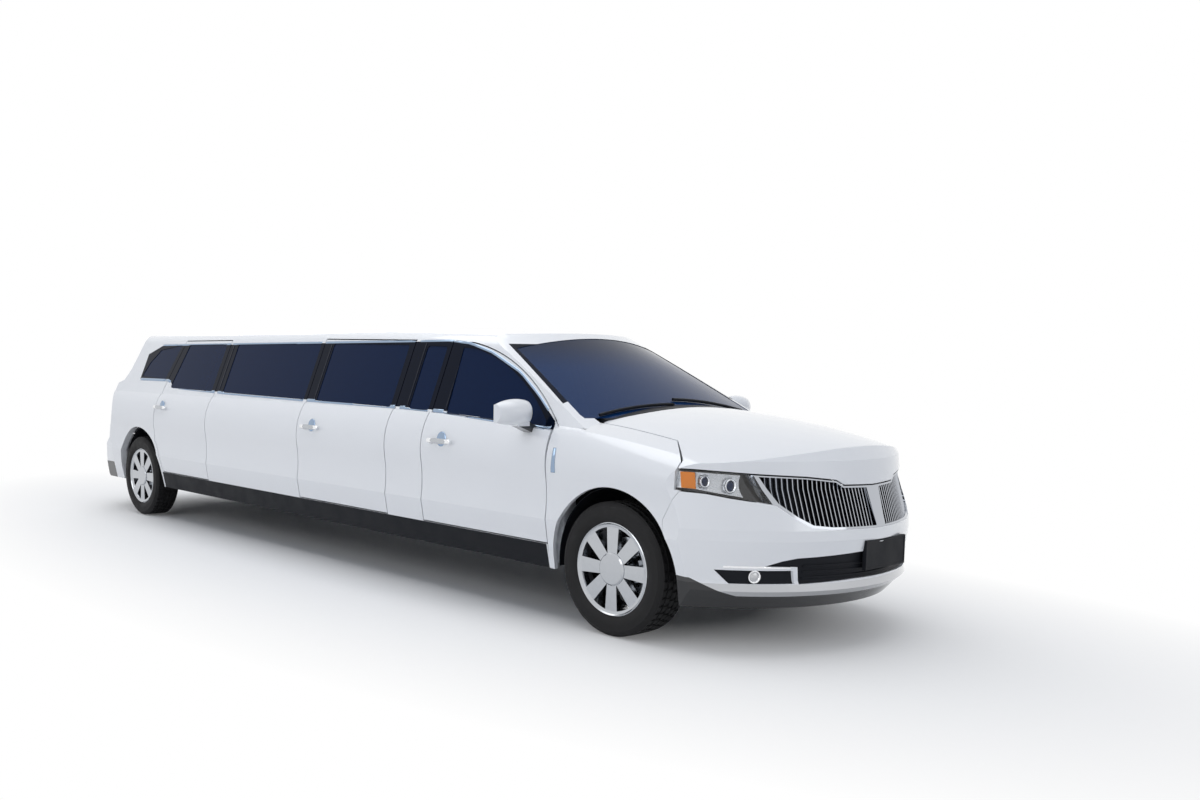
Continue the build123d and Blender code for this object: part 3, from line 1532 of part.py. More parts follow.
with BuildPart() as cowl_panel:
    add(cut_out(SIDE_SHELL, keep=[block(2400, 3200, -COWL_Y, COWL_Y, 1080, COWL_Z)]))
    add(
        cut_out(
            NOSE,
            keep=[block(FENDER_REAR_X, 2960, -COWL_Y, COWL_Y, 1100, 1300)],
            remove=[
                nose_solid(BONNET_WALL),
                plan_prism(bonnet_plan(COWL_GAP), 860, 1400),
                cut_out(glasshouse(-3), remove=[BELOW_COWL]),
            ],
        )
    )
write(cowl_panel, "cowl_panel")

write(make_bonnet(), "bonnet")
write(make_fenders(), "front_fenders")
write(make_front_bumper(), "front_bumper")
write(make_lamps(), "headlamps")
write(make_grille(), "grille")
write(make_lower_grille(), "lower_grille")
write(make_rear_bumper(), "rear_bumper")
write(make_gate(), "liftgate")

with BuildPart() as liftgate_glass:
    add(body_form(GLASS_DROP, GLASS_DROP, GLASS_DROP))
    add(body_form(GLASS_DROP + GLASS_T, GLASS_DROP + GLASS_T, GLASS_DROP + GLASS_T), mode=Mode.SUBTRACT)
    add(front_prism(gate_window(SEAT), TAIL_X - 50, -3000), mode=Mode.INTERSECT)
write(liftgate_glass, "liftgate_glass")

with BuildPart() as tail_lamps:
    add(TAIL_LAMP_SOLID)
write(tail_lamps, "tail_lamps")

with BuildPart() as side_skirts:
    add(cut_out(SKIRT_BAND, keep=[lower_form()], remove=[lower_form(SKIRT_T - SEAT)]))
write(side_skirts, "side_skirts")


# Wheels, axles and knuckles
for place, x in (("front", FRONT_AXLE_X), ("rear", REAR_AXLE_X)):
    for side in SIDES:
        write(make_tyre(x, side), f"tyre_{place}_{side}")
        write(make_rim(x, side), f"rim_{place}_{side}")

for side in SIDES:
    write(make_knuckle(FRONT_AXLE_X, side), f"knuckle_{side}")

write(make_front_axle(), "front_axle")
write(make_rear_axle(), "rear_axle")

# Under the body
write(make_floor(), "floor_pan")

with BuildPart() as arch_liners:
    add(arch_liner(FRONT_AXLE_X, FRONT_ARCH_Z, 500))
    add(arch_liner(REAR_AXLE_X, REAR_ARCH_Z, WELL_Y + 5))
write(arch_liners, "arch_liners")

with BuildPart() as engine_block:
    add(block(2960, 3620, -260, 260, 470, 960))
    chamfer(engine_block.edges().filter_by(Axis.Y), 60)
    add(block(3250, 3350, -RAIL_IN_Y + SEAT, RAIL_IN_Y - SEAT, 400, 500))
write(engine_block, "engine_block")

with BuildPart() as exhaust:
    for y in (-60, 60):
        with BuildLine():
            FilletPolyline(
                (2700, y, 385), (-2400, y, 385), (-2560, y * 5, 480), (-3350, y * 5, 480),
                (-3560, y * 9.3, 352), (-3950, y * 9.3, 352), radius=60,
            )
        with BuildSketch(Plane.YZ.offset(2700)):
            with Locations((y, 385)):
                Circle(26)
        sweep()
        for x in (-1600, 0, 1600):
            add(block(x - 16, x + 16, y - 16, y + 16, 400, FLOOR_Z + 100 - SEAT))
write(exhaust, "exhaust")

# Cabin
write(make_dashboard(), "dashboard")
write(make_steering_wheel(), "steering_wheel")
write(make_front_seats(), "front_seats")
write(make_lounge_seats(), "lounge_seats")
write(make_partition(), "partition")
for side in SIDES:
    write(make_mirror(side), f"mirror_{side}")
write(make_wipers(), "wipers")
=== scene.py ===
"""A white stretch limousine on a pale studio floor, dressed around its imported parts."""

import json
import math

import bpy
from mathutils import Euler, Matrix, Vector
from mathutils.bvhtree import BVHTree


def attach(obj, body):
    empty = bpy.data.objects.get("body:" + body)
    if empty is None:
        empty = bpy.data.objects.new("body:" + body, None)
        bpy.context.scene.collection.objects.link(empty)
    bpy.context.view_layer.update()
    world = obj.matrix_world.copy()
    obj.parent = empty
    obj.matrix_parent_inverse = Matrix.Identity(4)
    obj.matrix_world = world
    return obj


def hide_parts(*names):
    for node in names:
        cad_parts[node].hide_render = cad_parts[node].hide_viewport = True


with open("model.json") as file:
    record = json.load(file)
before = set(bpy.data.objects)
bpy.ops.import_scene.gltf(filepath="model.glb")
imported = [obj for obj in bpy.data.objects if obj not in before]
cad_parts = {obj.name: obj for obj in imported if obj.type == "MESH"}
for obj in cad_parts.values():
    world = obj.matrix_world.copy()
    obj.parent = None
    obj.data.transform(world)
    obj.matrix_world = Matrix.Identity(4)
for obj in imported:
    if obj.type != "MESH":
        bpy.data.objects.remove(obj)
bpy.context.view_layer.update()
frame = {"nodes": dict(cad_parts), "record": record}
NODES = frame["nodes"]
SIDES = {"left": 1, "right": -1}

# Camera, in metres and degrees, and the photograph's frame in pixels
PHOTO_WIDTH, PHOTO_HEIGHT = 1200, 800
FOCAL_PX = 1117.5
OPTICAL_CENTRE_PX = (487.4, 468.0)
SENSOR_MM = 36.0
CAMERA_PLACE = (7.1815, -5.367, 1.478)
CAMERA_YAW, CAMERA_PITCH, CAMERA_ROLL = 139.06, -5.37, 0.74

# Colours, as linear red, green and blue
PEARL = (0.82, 0.835, 0.86)
TINT_BLACK = (0.003, 0.014, 0.052)
SCREEN_TINT, SCREEN_HEAD = (0.003, 0.035, 0.130), (0.002, 0.014, 0.050)
TRIM_BLACK = (0.009, 0.010, 0.013)
GLOSS_BLACK = (0.003, 0.006, 0.016)
RIM_SILVER = (0.50, 0.52, 0.55)
SLAT_SILVER = (0.46, 0.48, 0.52)
# The strips' chrome is tinted blue: the blue is a painted reflection of the sky.
STRIP_CHROME_PAINTED_SKY = (0.30, 0.39, 0.52)
BRIGHT_METAL = (0.86, 0.87, 0.89)
STEEL = (0.38, 0.38, 0.39)
CAST = (0.12, 0.12, 0.125)
UNDERBODY = (0.035, 0.035, 0.038)
RUBBER = (0.009, 0.009, 0.010)
LEATHER = (0.028, 0.026, 0.026)
DASH = (0.045, 0.045, 0.048)
WOOD_DARK, WOOD_LIGHT = (0.055, 0.020, 0.008), (0.16, 0.07, 0.03)
LAMP_RED = (0.42, 0.008, 0.010)
FLOOR = (0.90, 0.90, 0.90)
AMBER = (0.55, 0.16, 0.012)
SATIN_SILVER = (0.52, 0.53, 0.55)

# The nose and the wheels, in metres
NOSE_X = 4.16
NOSE_ARC_R = 1.071
NOSE_LEVELS = [(0.345, 0.016), (0.400, 0.026), (0.600, 0.0), (0.655, 0.004), (0.860, 0.066), (1.000, 0.082)]
AXLES = {"front": 3.100, "rear": -2.943}
WHEEL_Y, TYRE_R = 0.827, 0.3705

# The dark band of the side windows: its foot and its head as points (x, z), and its ends
BELT = [(-3.15, 1.285), (-2.50, 1.285), (-2.40, 1.225), (-1.41, 1.202), (-0.14, 1.186), (1.13, 1.177)]
BELT += [(1.56, 1.168), (2.01, 1.143), (2.60, 1.114)]
HEAD = [(-3.15, 1.52), (-2.90, 1.602), (1.40, 1.618), (1.62, 1.600), (1.86, 1.541), (2.17, 1.420)]
HEAD += [(2.38, 1.290), (2.60, 1.130)]
BAND_REAR_X, BAND_FRONT_X = -3.15, 2.575
BAND_LEAST_Y = 0.55
DOOR_SPANS = {"front": (1.450, 2.608), "middle": (-0.080, 1.040), "rear": (-2.585, -1.570)}
DOOR_SIDES = {"front": ("left", "right"), "middle": ("right",), "rear": ("left", "right")}

# The cabin's inner skin as points (z, half width), and the box that it lies in
INNER_SKIN = [(0.40, 0.885), (1.10, 0.885), (1.18, 0.835), (1.62, 0.640)]
CABIN_REAR_X, CABIN_FRONT_X, CABIN_TOP_Z = -3.35, 2.58, 1.60

# Dust on the lower body, from where it lies thickest to where it ends
DUST = (0.52, 0.50, 0.46)
DUST_FULL_Z, DUST_END_Z = 0.30, 0.62

# Bumpers: the top of the black foot as points (x, z), and the silver lip in front
BUMPER_FOOT = [(-4.2, 0.46), (0.0, 0.46), (3.0, 0.44), (3.62, 0.405), (3.80, 0.318), (4.2, 0.315)]
LIP_TOP_Z, LIP_REAR_X = 0.382, 3.0

# How deep behind the nose the grille turns from bright to dark
SLAT_DEPTH_BRIGHT, SLAT_DEPTH_DARK = 0.020, 0.042

# Door mirrors: the silvered face and the black foot
MIRROR_FACE_X, MIRROR_FACE_Y, MIRROR_FACE_Z = 2.397, 0.97, 1.10
MIRROR_FOOT_Y, MIRROR_FOOT_Z = 0.955, 1.118

# Bright strips along the side windows, and the dark uprights between the panes
STRIP_GAP = 0.0045
STRIP_H, STRIP_T = 0.022, 0.005
STRIP_STEP = 0.05
BELT_STRIP = {"low": -3.14, "high": 2.56, "lift": -0.004, "height": STRIP_H}
HEAD_STRIP = {"low": -2.90, "high": 2.50, "lift": 0.004, "height": 0.014}
DIVIDERS = (1.169, 1.578, 0.020, -1.500)
DIVIDER_W, DIVIDER_T, DIVIDER_FOOT, DIVIDER_HEAD = 0.012, 0.004, 0.014, 0.012

# Headlamps: outlines as points (y, z), projectors as (y, z, radius), and the amber end
LAMP_Y_IN, LAMP_Y_OUT = 0.705, 0.915
LAMP_LOW = [(0.627, 0.787), (0.787, 0.820), (0.858, 0.839), (1.10, 0.866)]
LAMP_HIGH = [(0.60, 0.926), (0.690, 0.935), (0.885, 0.952), (1.10, 0.958)]
BOWL_BEHIND, BOWL_DISH, BOWL_T = 0.055, 0.016, 0.003
PROJECTORS = ((0.752, 0.873, 0.036), (0.836, 0.892, 0.031))
PROJECTOR_BEHIND, PROJECTOR_DEPTH = 0.046, 0.024
AMBER_Y, AMBER_W, AMBER_BEHIND, AMBER_T = 0.872, 0.040, 0.022, 0.004

# Middle intake, fog lamps and the blank plate
BAR_COUNT, BAR_Z, BAR_PITCH, BAR_HALF, BAR_H = 3, 0.414, 0.030, 0.495, 0.011
FOG_Y, FOG_Z, FOG_R = 0.70, 0.421, 0.033
FOG_LINE_Y, FOG_LINE_LONG, FOG_LINE_Z, FOG_LINE_H = 0.56, 0.26, 0.470, 0.012
PLATE_Y, PLATE_Z, PLATE_W, PLATE_H, PLATE_T = 0.045, 0.512, 0.390, 0.156, 0.022
PLATE_BEHIND, PLATE_RIM = 0.0115, 0.010

# Upright ornament on each wing, and the door handles
ORNAMENT_X, ORNAMENT_LOW, ORNAMENT_HIGH = 2.672, 0.866, 1.006
ORNAMENT_W, ORNAMENT_NARROWS, ORNAMENT_T = 0.034, 0.014, 0.005
CUP_R, CUP_FLAT, CUP_UP = 0.048, 0.16, 0.012
GRIP_LONG, GRIP_H, GRIP_OUT = 0.190, 0.034, 0.007

# Tyres: steps around, the groove, the wall as points (radius, out), and the ribs from high to low
TREAD_STEPS = 144
GROOVE_D = 0.007
RIB_DROP, SIPE_D = 0.0003, 0.0055
TYRE_WALL = [
    (0.2585, 0.100), (0.268, 0.108), (0.285, 0.1145), (0.312, 0.1172), (0.336, 0.1130), (0.340, 0.1138),
    (0.343, 0.1120), (0.356, 0.1030), (0.3640, 0.0930),
]
TREAD_RIBS = [(0.0925, 0.0650), (0.0565, 0.0245), (0.0165, -0.0165), (-0.0245, -0.0565), (-0.0650, -0.0925)]

# Padded seats: how the cloth is run, and the seats as (name, place, size, lean in degrees)
PAD_FRAMES = 20
PAD_VOXEL = 0.016
PAD_CAP = 0.022
PAD_PRESSURE = 4.0
DRIVER_Y = 0.40
FRONT_SEAT_FOOT = ((1.73, 0.445), (0.46, 0.40, 0.15))
FRONT_SEAT_PADS = (
    ("cushion", (1.765, 0.600), (0.47, 0.46, 0.13), -5),
    ("back", (1.435, 0.925), (0.14, 0.44, 0.56), -13),
    ("headrest", (1.262, 1.345), (0.095, 0.24, 0.15), -13),
)
BENCH_REAR_X, BENCH_LONG, BENCH_COUNT, BENCH_SEAM = -1.48, 2.48, 4, 0.05
REAR_SEAT_Y = (-0.28, 0.28)

# Floor and sky: where the floor fades to white, and the rays that see the white
FLOOR_SIZE = 90
FLOOR_LONG = 0.16
FLOOR_NEAR, FLOOR_FAR = 1.3, 2.9
SKY = (0.80, 0.87, 1.0, 1)
SKY_STRENGTH = 0.40
WHITE_RAYS = ("Is Camera Ray", "Is Glossy Ray", "Is Transmission Ray")

# Lamps: name, place, what it aims at, width and height, and power in watts
LAMPS = (
    ("roof_light", (0, -1, 8.5), (0, 0, 0), (14, 7), 420),
    ("side_light", (2.0, -10.0, 5.2), (0, 0, 0.8), (10, 4), 185),
    ("front_light", (11.5, 1.5, 4.0), (2.5, 0, 0.8), (5, 4), 60),
    ("back_light", (-9, 5, 5), (-1, 0, 0.8), (6, 4), 160),
)


class Value:
    """A socket of a material that takes part in sums: an expression on it adds Math nodes."""

    def __init__(self, material, socket):
        self.material = material
        self.socket = socket

    def math(self, operation, first, second=0.0):
        return self.material.node("Math", {"operation": operation}, {0: first, 1: second})

    def __add__(self, other):
        return self.math("ADD", self, other)

    __radd__ = __add__

    def __sub__(self, other):
        return self.math("SUBTRACT", self, other)

    def __rsub__(self, other):
        return self.math("SUBTRACT", other, self)

    def __mul__(self, other):
        return self.math("MULTIPLY", self, other)

    __rmul__ = __mul__

    def __gt__(self, other):
        return self.math("GREATER_THAN", self, other)

    def __lt__(self, other):
        return self.math("LESS_THAN", self, other)


class Finish:
    """A material, or the world, built from nodes."""

    def __init__(self, name, owner=None):
        self.data = owner or bpy.data.materials.new(name)
        self.data.use_nodes = True
        self.tree = self.data.node_tree
        self.tree.nodes.clear()

    def node(self, kind, settings=None, sockets=None, output=0):
        """Adds one node: its settings first, then the values or links of its sockets."""
        made = self.tree.nodes.new("ShaderNode" + kind)
        for key, setting in (settings or {}).items():
            setattr(made, key, setting)
        for key, value in (sockets or {}).items():
            if isinstance(value, Value):
                self.tree.links.new(value.socket, made.inputs[key])
            else:
                made.inputs[key].default_value = value
        return Value(self, made.outputs[output]) if made.outputs else None

    def place(self, scale=(1, 1, 1), turn=(0, 0, 0)):
        """The point on the object, in metres, stretched by a scale."""
        where = self.node("TexCoord", output="Object")
        return self.node("Mapping", {}, {"Vector": where, "Scale": scale, "Rotation": turn})

    def noise(self, size, detail=3.0, rough=0.5, stretch=(1, 1, 1)):
        """Clouds about as wide as a size in metres."""
        sockets = {"Vector": self.place(stretch), "Scale": 1 / size, "Detail": detail, "Roughness": rough}
        return self.node("TexNoise", {}, sockets)

    def ramp(self, value, low, high, out_low, out_high):
        """A value carried from one range to another, held at both ends."""
        sockets = {"Value": value, "From Min": low, "From Max": high, "To Min": out_low, "To Max": out_high}
        return self.node("MapRange", {"clamp": True}, sockets)

    def blend(self, mask, first, second):
        """One colour where the mask is 0, another where it is 1."""
        sockets = {"Factor": mask, 6: rgba(first), 7: rgba(second)}
        return self.node("Mix", {"data_type": "RGBA"}, sockets, output=2)

    def axes(self):
        """X, Y and Z of the point on the object, in metres."""
        where = self.node("TexCoord", output="Object")
        return [self.node("SeparateXYZ", {}, {"Vector": where}, output=axis) for axis in range(3)]

    def along(self, value, points):
        """A line through points, drawn as its first height and a change of slope at each point."""
        (x0, z0), (x1, z1) = points[:2]
        slope = (z1 - z0) / (x1 - x0)
        height = (value - x0) * slope + z0
        for (xa, za), (xb, zb) in zip(points[1:], points[2:]):
            turn = (zb - za) / (xb - xa) - slope
            height = height + self.node("Math", {"operation": "MAXIMUM"}, {0: value - xa, 1: 0.0}) * turn
            slope += turn
        return height

    def size_of(self, value):
        return self.node("Math", {"operation": "ABSOLUTE"}, {0: value})

    def bump(self, height, depth, strength=1.0, under=None):
        sockets = {"Height": height, "Distance": depth, "Strength": strength}
        if under is not None:
            sockets["Normal"] = under
        return self.node("Bump", {}, sockets)

    def surface(self, **sockets):
        """The shader itself; words in the names are joined by underscores."""
        named = {key.replace("_", " "): rgba(value) for key, value in sockets.items()}
        self.node("OutputMaterial", {}, {"Surface": self.node("BsdfPrincipled", {}, named)})
        return self

    def sees_white(self):
        """1 for the rays that see a plain white background, and 0 for those that light the car."""
        rays = sum(self.node("LightPath", output=ray) for ray in WHITE_RAYS)
        return self.node("Math", {"operation": "MINIMUM"}, {0: rays, 1: 1.0})


def rgba(value):
    """A colour with its fourth number; anything else unchanged."""
    if isinstance(value, tuple) and len(value) == 3:
        return (*value, 1.0)
    return value


def scaled(colour, share):
    return tuple(part * share for part in colour)


def pearl_flakes(paint, flakes):
    """Pearl white with paler flakes in it."""
    return paint.blend(paint.ramp(flakes, 0.35, 0.7, 0.0, 1.0), PEARL, scaled(PEARL, 1.05))


def pearl_paint():
    """White pearl under clear coat; on the body's sides the frames between the windows are gloss black."""
    paint = Finish("pearl_paint")
    flakes = paint.noise(0.0009, detail=1.0)
    x, y, z = paint.axes()
    dust = paint.ramp(z, DUST_FULL_Z, DUST_END_Z, 0.10, 0.0) * paint.noise(0.18, detail=5.0)
    across = paint.size_of(y)
    band = (z > paint.along(x, BELT)) * (z < paint.along(x, HEAD)) * (across > BAND_LEAST_Y)
    band = band * (x > BAND_REAR_X) * (x < BAND_FRONT_X)
    inside = (across < paint.along(z, INNER_SKIN)) * (z < CABIN_TOP_Z)
    inside = inside * (x < CABIN_FRONT_X) * (x > CABIN_REAR_X)
    dark = band + inside - band * inside
    return paint.surface(
        Base_Color=paint.blend(dark, paint.blend(dust, pearl_flakes(paint, flakes), DUST), GLOSS_BLACK),
        Roughness=paint.ramp(dark, 0.0, 1.0, 0.30, 0.10) + paint.ramp(flakes, 0.2, 0.8, -0.04, 0.05),
        Metallic=paint.ramp(dark, 0.0, 1.0, 0.12, 0.0),
        Coat_Weight=paint.ramp(dark, 0.0, 1.0, 1.0, 0.0),
        Coat_Roughness=0.04,
        IOR=1.15,
        Normal=paint.bump(paint.noise(0.012, detail=2.0), 0.00004, 0.35),
    )


def bumper_paint():
    """Body paint above, satin silver on the lower lip and black plastic at the foot."""
    paint = Finish("bumper_paint")
    flakes = paint.noise(0.0009, detail=1.0)
    x, y, z = paint.axes()
    silver = (z < LIP_TOP_Z) * (x > LIP_REAR_X)
    black = z < paint.along(x, BUMPER_FOOT)
    skin = pearl_flakes(paint, flakes)
    return paint.surface(
        Base_Color=paint.blend(black, paint.blend(silver, skin, SATIN_SILVER), TRIM_BLACK),
        Roughness=paint.ramp(black, 0.0, 1.0, 0.28, 0.5),
        Metallic=paint.ramp(silver, 0.0, 1.0, 0.12, 0.7),
        Coat_Weight=0.9,
        Coat_Roughness=0.05,
        Normal=paint.bump(paint.noise(0.012, detail=2.0), 0.00004, 0.35),
    )


def grille_finish():
    """Bright frame and slats before a black plate: what lies deep behind the nose is dark."""
    plated = Finish("grille_chrome")
    x, y, z = plated.axes()
    root = plated.node("Math", {"operation": "SQRT"}, {0: NOSE_ARC_R**2 - y * y})
    face = NOSE_X - (NOSE_ARC_R - root) - plated.along(z, NOSE_LEVELS)
    deep = plated.ramp(face - x, SLAT_DEPTH_BRIGHT, SLAT_DEPTH_DARK, 0.0, 1.0)
    return plated.surface(
        Base_Color=plated.blend(deep, SLAT_SILVER, GLOSS_BLACK),
        Metallic=plated.ramp(deep, 0.5, 1.0, 1.0, 0.0),
        Roughness=plated.ramp(plated.noise(0.05), 0.3, 0.7, 0.06, 0.14),
    )


def mirror_finish():
    """A painted cap, a black foot, and silvered glass on the side that faces the driver."""
    cap = Finish("mirror_cap")
    x, y, z = cap.axes()
    across = cap.size_of(y)
    glass = (x < MIRROR_FACE_X) * (across > MIRROR_FACE_Y) * (z > MIRROR_FACE_Z)
    under = (z < MIRROR_FOOT_Z) + (across < MIRROR_FOOT_Y)
    return cap.surface(
        Base_Color=cap.blend(glass, cap.blend(under, PEARL, TRIM_BLACK), BRIGHT_METAL),
        Metallic=glass,
        Roughness=cap.ramp(glass, 0.0, 1.0, 0.28, 0.03),
        Coat_Weight=0.9,
        Coat_Roughness=0.04,
    )


def tinted_glass():
    """Side glass so dark that it reads as deep blue black."""
    glass = Finish("tinted_glass")
    return glass.surface(
        Base_Color=TINT_BLACK,
        Roughness=glass.ramp(glass.noise(0.5), 0.3, 0.8, 0.03, 0.07),
        IOR=1.14,
        Alpha=0.97,
    )


def clear_glass():
    """Windscreen glass: deep blue, darker in a band along its head, with the cabin faintly behind it."""
    glass = Finish("clear_glass")
    x, y, z = glass.axes()
    shade = glass.ramp(z, 1.45, 1.60, 0.0, 1.0)
    return glass.surface(
        Base_Color=glass.blend(shade, SCREEN_TINT, SCREEN_HEAD),
        Roughness=0.03,
        IOR=1.25,
        Alpha=glass.ramp(shade, 0.0, 1.0, 0.80, 0.94),
    )


def lamp_glass():
    glass = Finish("lamp_glass")
    return glass.surface(
        Base_Color=glass.blend(glass.noise(0.2), (0.93, 0.95, 0.97), (0.85, 0.88, 0.92)),
        Roughness=0.02,
        IOR=1.06,
        Transmission_Weight=1.0,
        Coat_Weight=1.0,
        Coat_Roughness=0.02,
    )


def metal(name, colour, rough_low, rough_high, grain=0.03, depth=0.00002):
    """Polished or plated metal whose gloss varies a little over it."""
    bright = Finish(name)
    clouds = bright.noise(grain, detail=4.0)
    return bright.surface(
        Base_Color=bright.blend(clouds, colour, scaled(colour, 0.93)),
        Metallic=1.0,
        Roughness=bright.ramp(clouds, 0.3, 0.75, rough_low, rough_high),
        Normal=bright.bump(bright.noise(grain / 8, detail=2.0), depth, 0.4),
    )


def plastic(name, colour, rough_low, rough_high, grain, depth):
    """Moulded plastic with a fine grain."""
    moulded = Finish(name)
    pores = moulded.node("TexVoronoi", {"feature": "F1"}, {"Vector": moulded.place(), "Scale": 1 / grain})
    clouds = moulded.noise(0.12, detail=4.0)
    return moulded.surface(
        Base_Color=moulded.blend(clouds, colour, scaled(colour, 1.35)),
        Roughness=moulded.ramp(clouds, 0.3, 0.7, rough_low, rough_high),
        IOR=1.22,
        Normal=moulded.bump(pores, depth, 0.5),
    )


def tyre_rubber():
    """Black rubber, a little dusty on the tread and the shoulders."""
    rubber = Finish("tyre_rubber")
    clouds = rubber.noise(0.06, detail=6.0)
    return rubber.surface(
        Base_Color=rubber.blend(rubber.ramp(clouds, 0.45, 0.8, 0.0, 0.35), RUBBER, (0.030, 0.029, 0.028)),
        Roughness=rubber.ramp(clouds, 0.3, 0.8, 0.55, 0.80),
        IOR=1.33,
        Normal=rubber.bump(rubber.noise(0.0015), 0.0001, 0.4),
    )


def leather():
    """Black leather with a fine creased grain."""
    hide = Finish("seat_leather")
    grain = {"Vector": hide.place(), "Scale": 420.0}
    cells = hide.node("TexVoronoi", {"feature": "DISTANCE_TO_EDGE"}, grain)
    wear = hide.noise(0.22, detail=4.0)
    return hide.surface(
        Base_Color=hide.blend(wear, LEATHER, scaled(LEATHER, 1.6)),
        Roughness=hide.ramp(wear, 0.3, 0.7, 0.38, 0.55),
        Normal=hide.bump(hide.ramp(cells, 0.0, 0.12, 0.0, 1.0), 0.0003, 0.5),
    )


def wood():
    """Dark varnished wood, its rings drawn out along the car."""
    veneer = Finish("cabin_wood")
    rings = veneer.node(
        "TexWave",
        {"wave_type": "RINGS", "rings_direction": "X"},
        {"Vector": veneer.place((0.35, 1, 1)), "Scale": 14.0, "Distortion": 6.0, "Detail": 3.0},
    )
    return veneer.surface(
        Base_Color=veneer.blend(rings, WOOD_DARK, WOOD_LIGHT),
        Roughness=veneer.ramp(rings, 0.0, 1.0, 0.16, 0.28),
        Coat_Weight=0.8,
        Coat_Roughness=0.06,
    )


def red_lens():
    lens = Finish("red_lamp")
    ribs = lens.node("TexWave", {"bands_direction": "Y"}, {"Vector": lens.place(), "Scale": 60.0})
    return lens.surface(
        Base_Color=lens.blend(ribs, LAMP_RED, scaled(LAMP_RED, 0.6)),
        Roughness=0.08,
        Coat_Weight=1.0,
        Coat_Roughness=0.03,
        Normal=lens.bump(ribs, 0.0006, 0.6),
    )


FINISHES = {
    "paint": pearl_paint(),
    "bumper_paint": bumper_paint(),
    "grille_chrome": grille_finish(),
    "mirror_cap": mirror_finish(),
    "amber_lens": plastic("amber_lens", AMBER, 0.10, 0.18, 0.004, 0.00005),
    "satin_silver": metal("satin_silver", SATIN_SILVER, 0.22, 0.34),
    "tinted_glass": tinted_glass(),
    "clear_glass": clear_glass(),
    "lamp_glass": lamp_glass(),
    "red_lamp": red_lens(),
    "bright_trim": metal("bright_trim", BRIGHT_METAL, 0.05, 0.12),
    "grille_dark": plastic("grille_dark", GLOSS_BLACK, 0.12, 0.22, 0.0012, 0.00002),
    "dark_trim": plastic("dark_trim", TRIM_BLACK, 0.42, 0.58, 0.0014, 0.00015),
    "rim_chrome": metal("rim_chrome", RIM_SILVER, 0.10, 0.20),
    # Chrome of the window strips, wing ornaments and handle cups, tinted blue as a painted reflection of
    # the sky.
    "strip_chrome": metal("strip_chrome", STRIP_CHROME_PAINTED_SKY, 0.06, 0.12),
    "tyre_rubber": tyre_rubber(),
    "bare_steel": metal("bare_steel", STEEL, 0.25, 0.42, grain=0.01),
    "cast_metal": metal("cast_metal", CAST, 0.5, 0.7, grain=0.008, depth=0.0003),
    "floor_coat": plastic("floor_coat", UNDERBODY, 0.7, 0.9, 0.004, 0.0006),
    "seat_leather": leather(),
    "dash_plastic": plastic("dash_plastic", DASH, 0.5, 0.65, 0.0012, 0.0001),
    "cabin_wood": wood(),
}


def paint_node(node, finish):
    """A CAD node's own slots take one finish."""
    slots = NODES[node].data.materials
    slots.clear()
    slots.append(FINISHES[finish].data)


OWN_FINISH = {"front_bumper": "bumper_paint", "rear_bumper": "bumper_paint", "grille": "grille_chrome",
              "mirror_left": "mirror_cap", "mirror_right": "mirror_cap"}
for subpart in frame["record"]["subparts"]:
    paint_node(subpart["node"], OWN_FINISH.get(subpart["node"], subpart["material_slot"]))


def deselect():
    bpy.ops.object.select_all(action="DESELECT")


def finish_piece(piece, name, body, slot, finish):
    """Names a piece, settles its place into its mesh, and gives it a body and a finish."""
    deselect()
    piece.select_set(True)
    bpy.context.view_layer.objects.active = piece
    bpy.ops.object.transform_apply(location=True, rotation=True, scale=True)
    piece.name = name
    piece.data.materials.clear()
    piece.data.materials.append(FINISHES[finish].data)
    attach(piece, body)
    return piece


def apply_modifier(piece, kind, **settings):
    bpy.context.view_layer.objects.active = piece
    added = piece.modifiers.new(kind.lower(), kind)
    for key, value in settings.items():
        setattr(added, key, value)
    bpy.ops.object.modifier_apply(modifier=added.name)


def choose_faces(piece, test):
    """Selects the faces that pass a test, and nothing else."""
    bpy.ops.object.mode_set(mode="EDIT")
    bpy.ops.mesh.select_mode(type="FACE")
    bpy.ops.mesh.select_all(action="DESELECT")
    bpy.ops.object.mode_set(mode="OBJECT")
    for face in piece.data.polygons:
        face.select = test(face)


def search_tree(starts):
    """The faces of the CAD nodes whose names start so, as one tree to cast rays at."""
    corners, faces = [], []
    for name, piece in NODES.items():
        if name.startswith(starts):
            first = len(corners)
            corners += [corner.co.copy() for corner in piece.data.vertices]
            faces += [[first + index for index in face.vertices] for face in piece.data.polygons]
    return BVHTree.FromPolygons(corners, faces)


SIDE_NAMES = ("body_side", "door_front", "door_middle", "door_rear", "front_fenders", "liftgate")
SIDE_SKIN = search_tree(SIDE_NAMES)
NOSE_SKIN = search_tree(("front_bumper", "lower_grille", "grille"))
LAMP_SKIN = search_tree(("headlamps",))


def on_side(x, z, side):
    """The outermost point of the car's side at a place along it and a height."""
    sign = SIDES[side]
    hit = SIDE_SKIN.ray_cast(Vector((x, 1.5 * sign, z)), Vector((0, -sign, 0)))[0]
    return hit if hit else Vector((x, 0.70 * sign, z))


def on_front(tree, y, z):
    hit = tree.ray_cast(Vector((5, y, z)), Vector((-1, 0, 0)))[0]
    return hit if hit else Vector((4.0, y, z))


def laid_grid(name, columns, rows, place, thickness):
    """A grid laid over the car by a function of two shares, and given a wall and soft edges."""
    deselect()
    bpy.ops.mesh.primitive_grid_add(x_subdivisions=columns, y_subdivisions=rows, size=1, location=(0, 0, 0))
    piece = bpy.context.object
    for corner in piece.data.vertices:
        corner.co = place(corner.co.x + 0.5, corner.co.y + 0.5)
    bpy.ops.object.mode_set(mode="EDIT")
    bpy.ops.mesh.select_all(action="SELECT")
    bpy.ops.mesh.remove_doubles(threshold=0.00002)
    bpy.ops.object.mode_set(mode="OBJECT")
    apply_modifier(piece, "SOLIDIFY", thickness=thickness, offset=0)
    apply_modifier(piece, "BEVEL", width=thickness * 0.3, segments=2, limit_method="ANGLE")
    bpy.ops.object.shade_smooth_by_angle(angle=math.radians(40))
    return piece


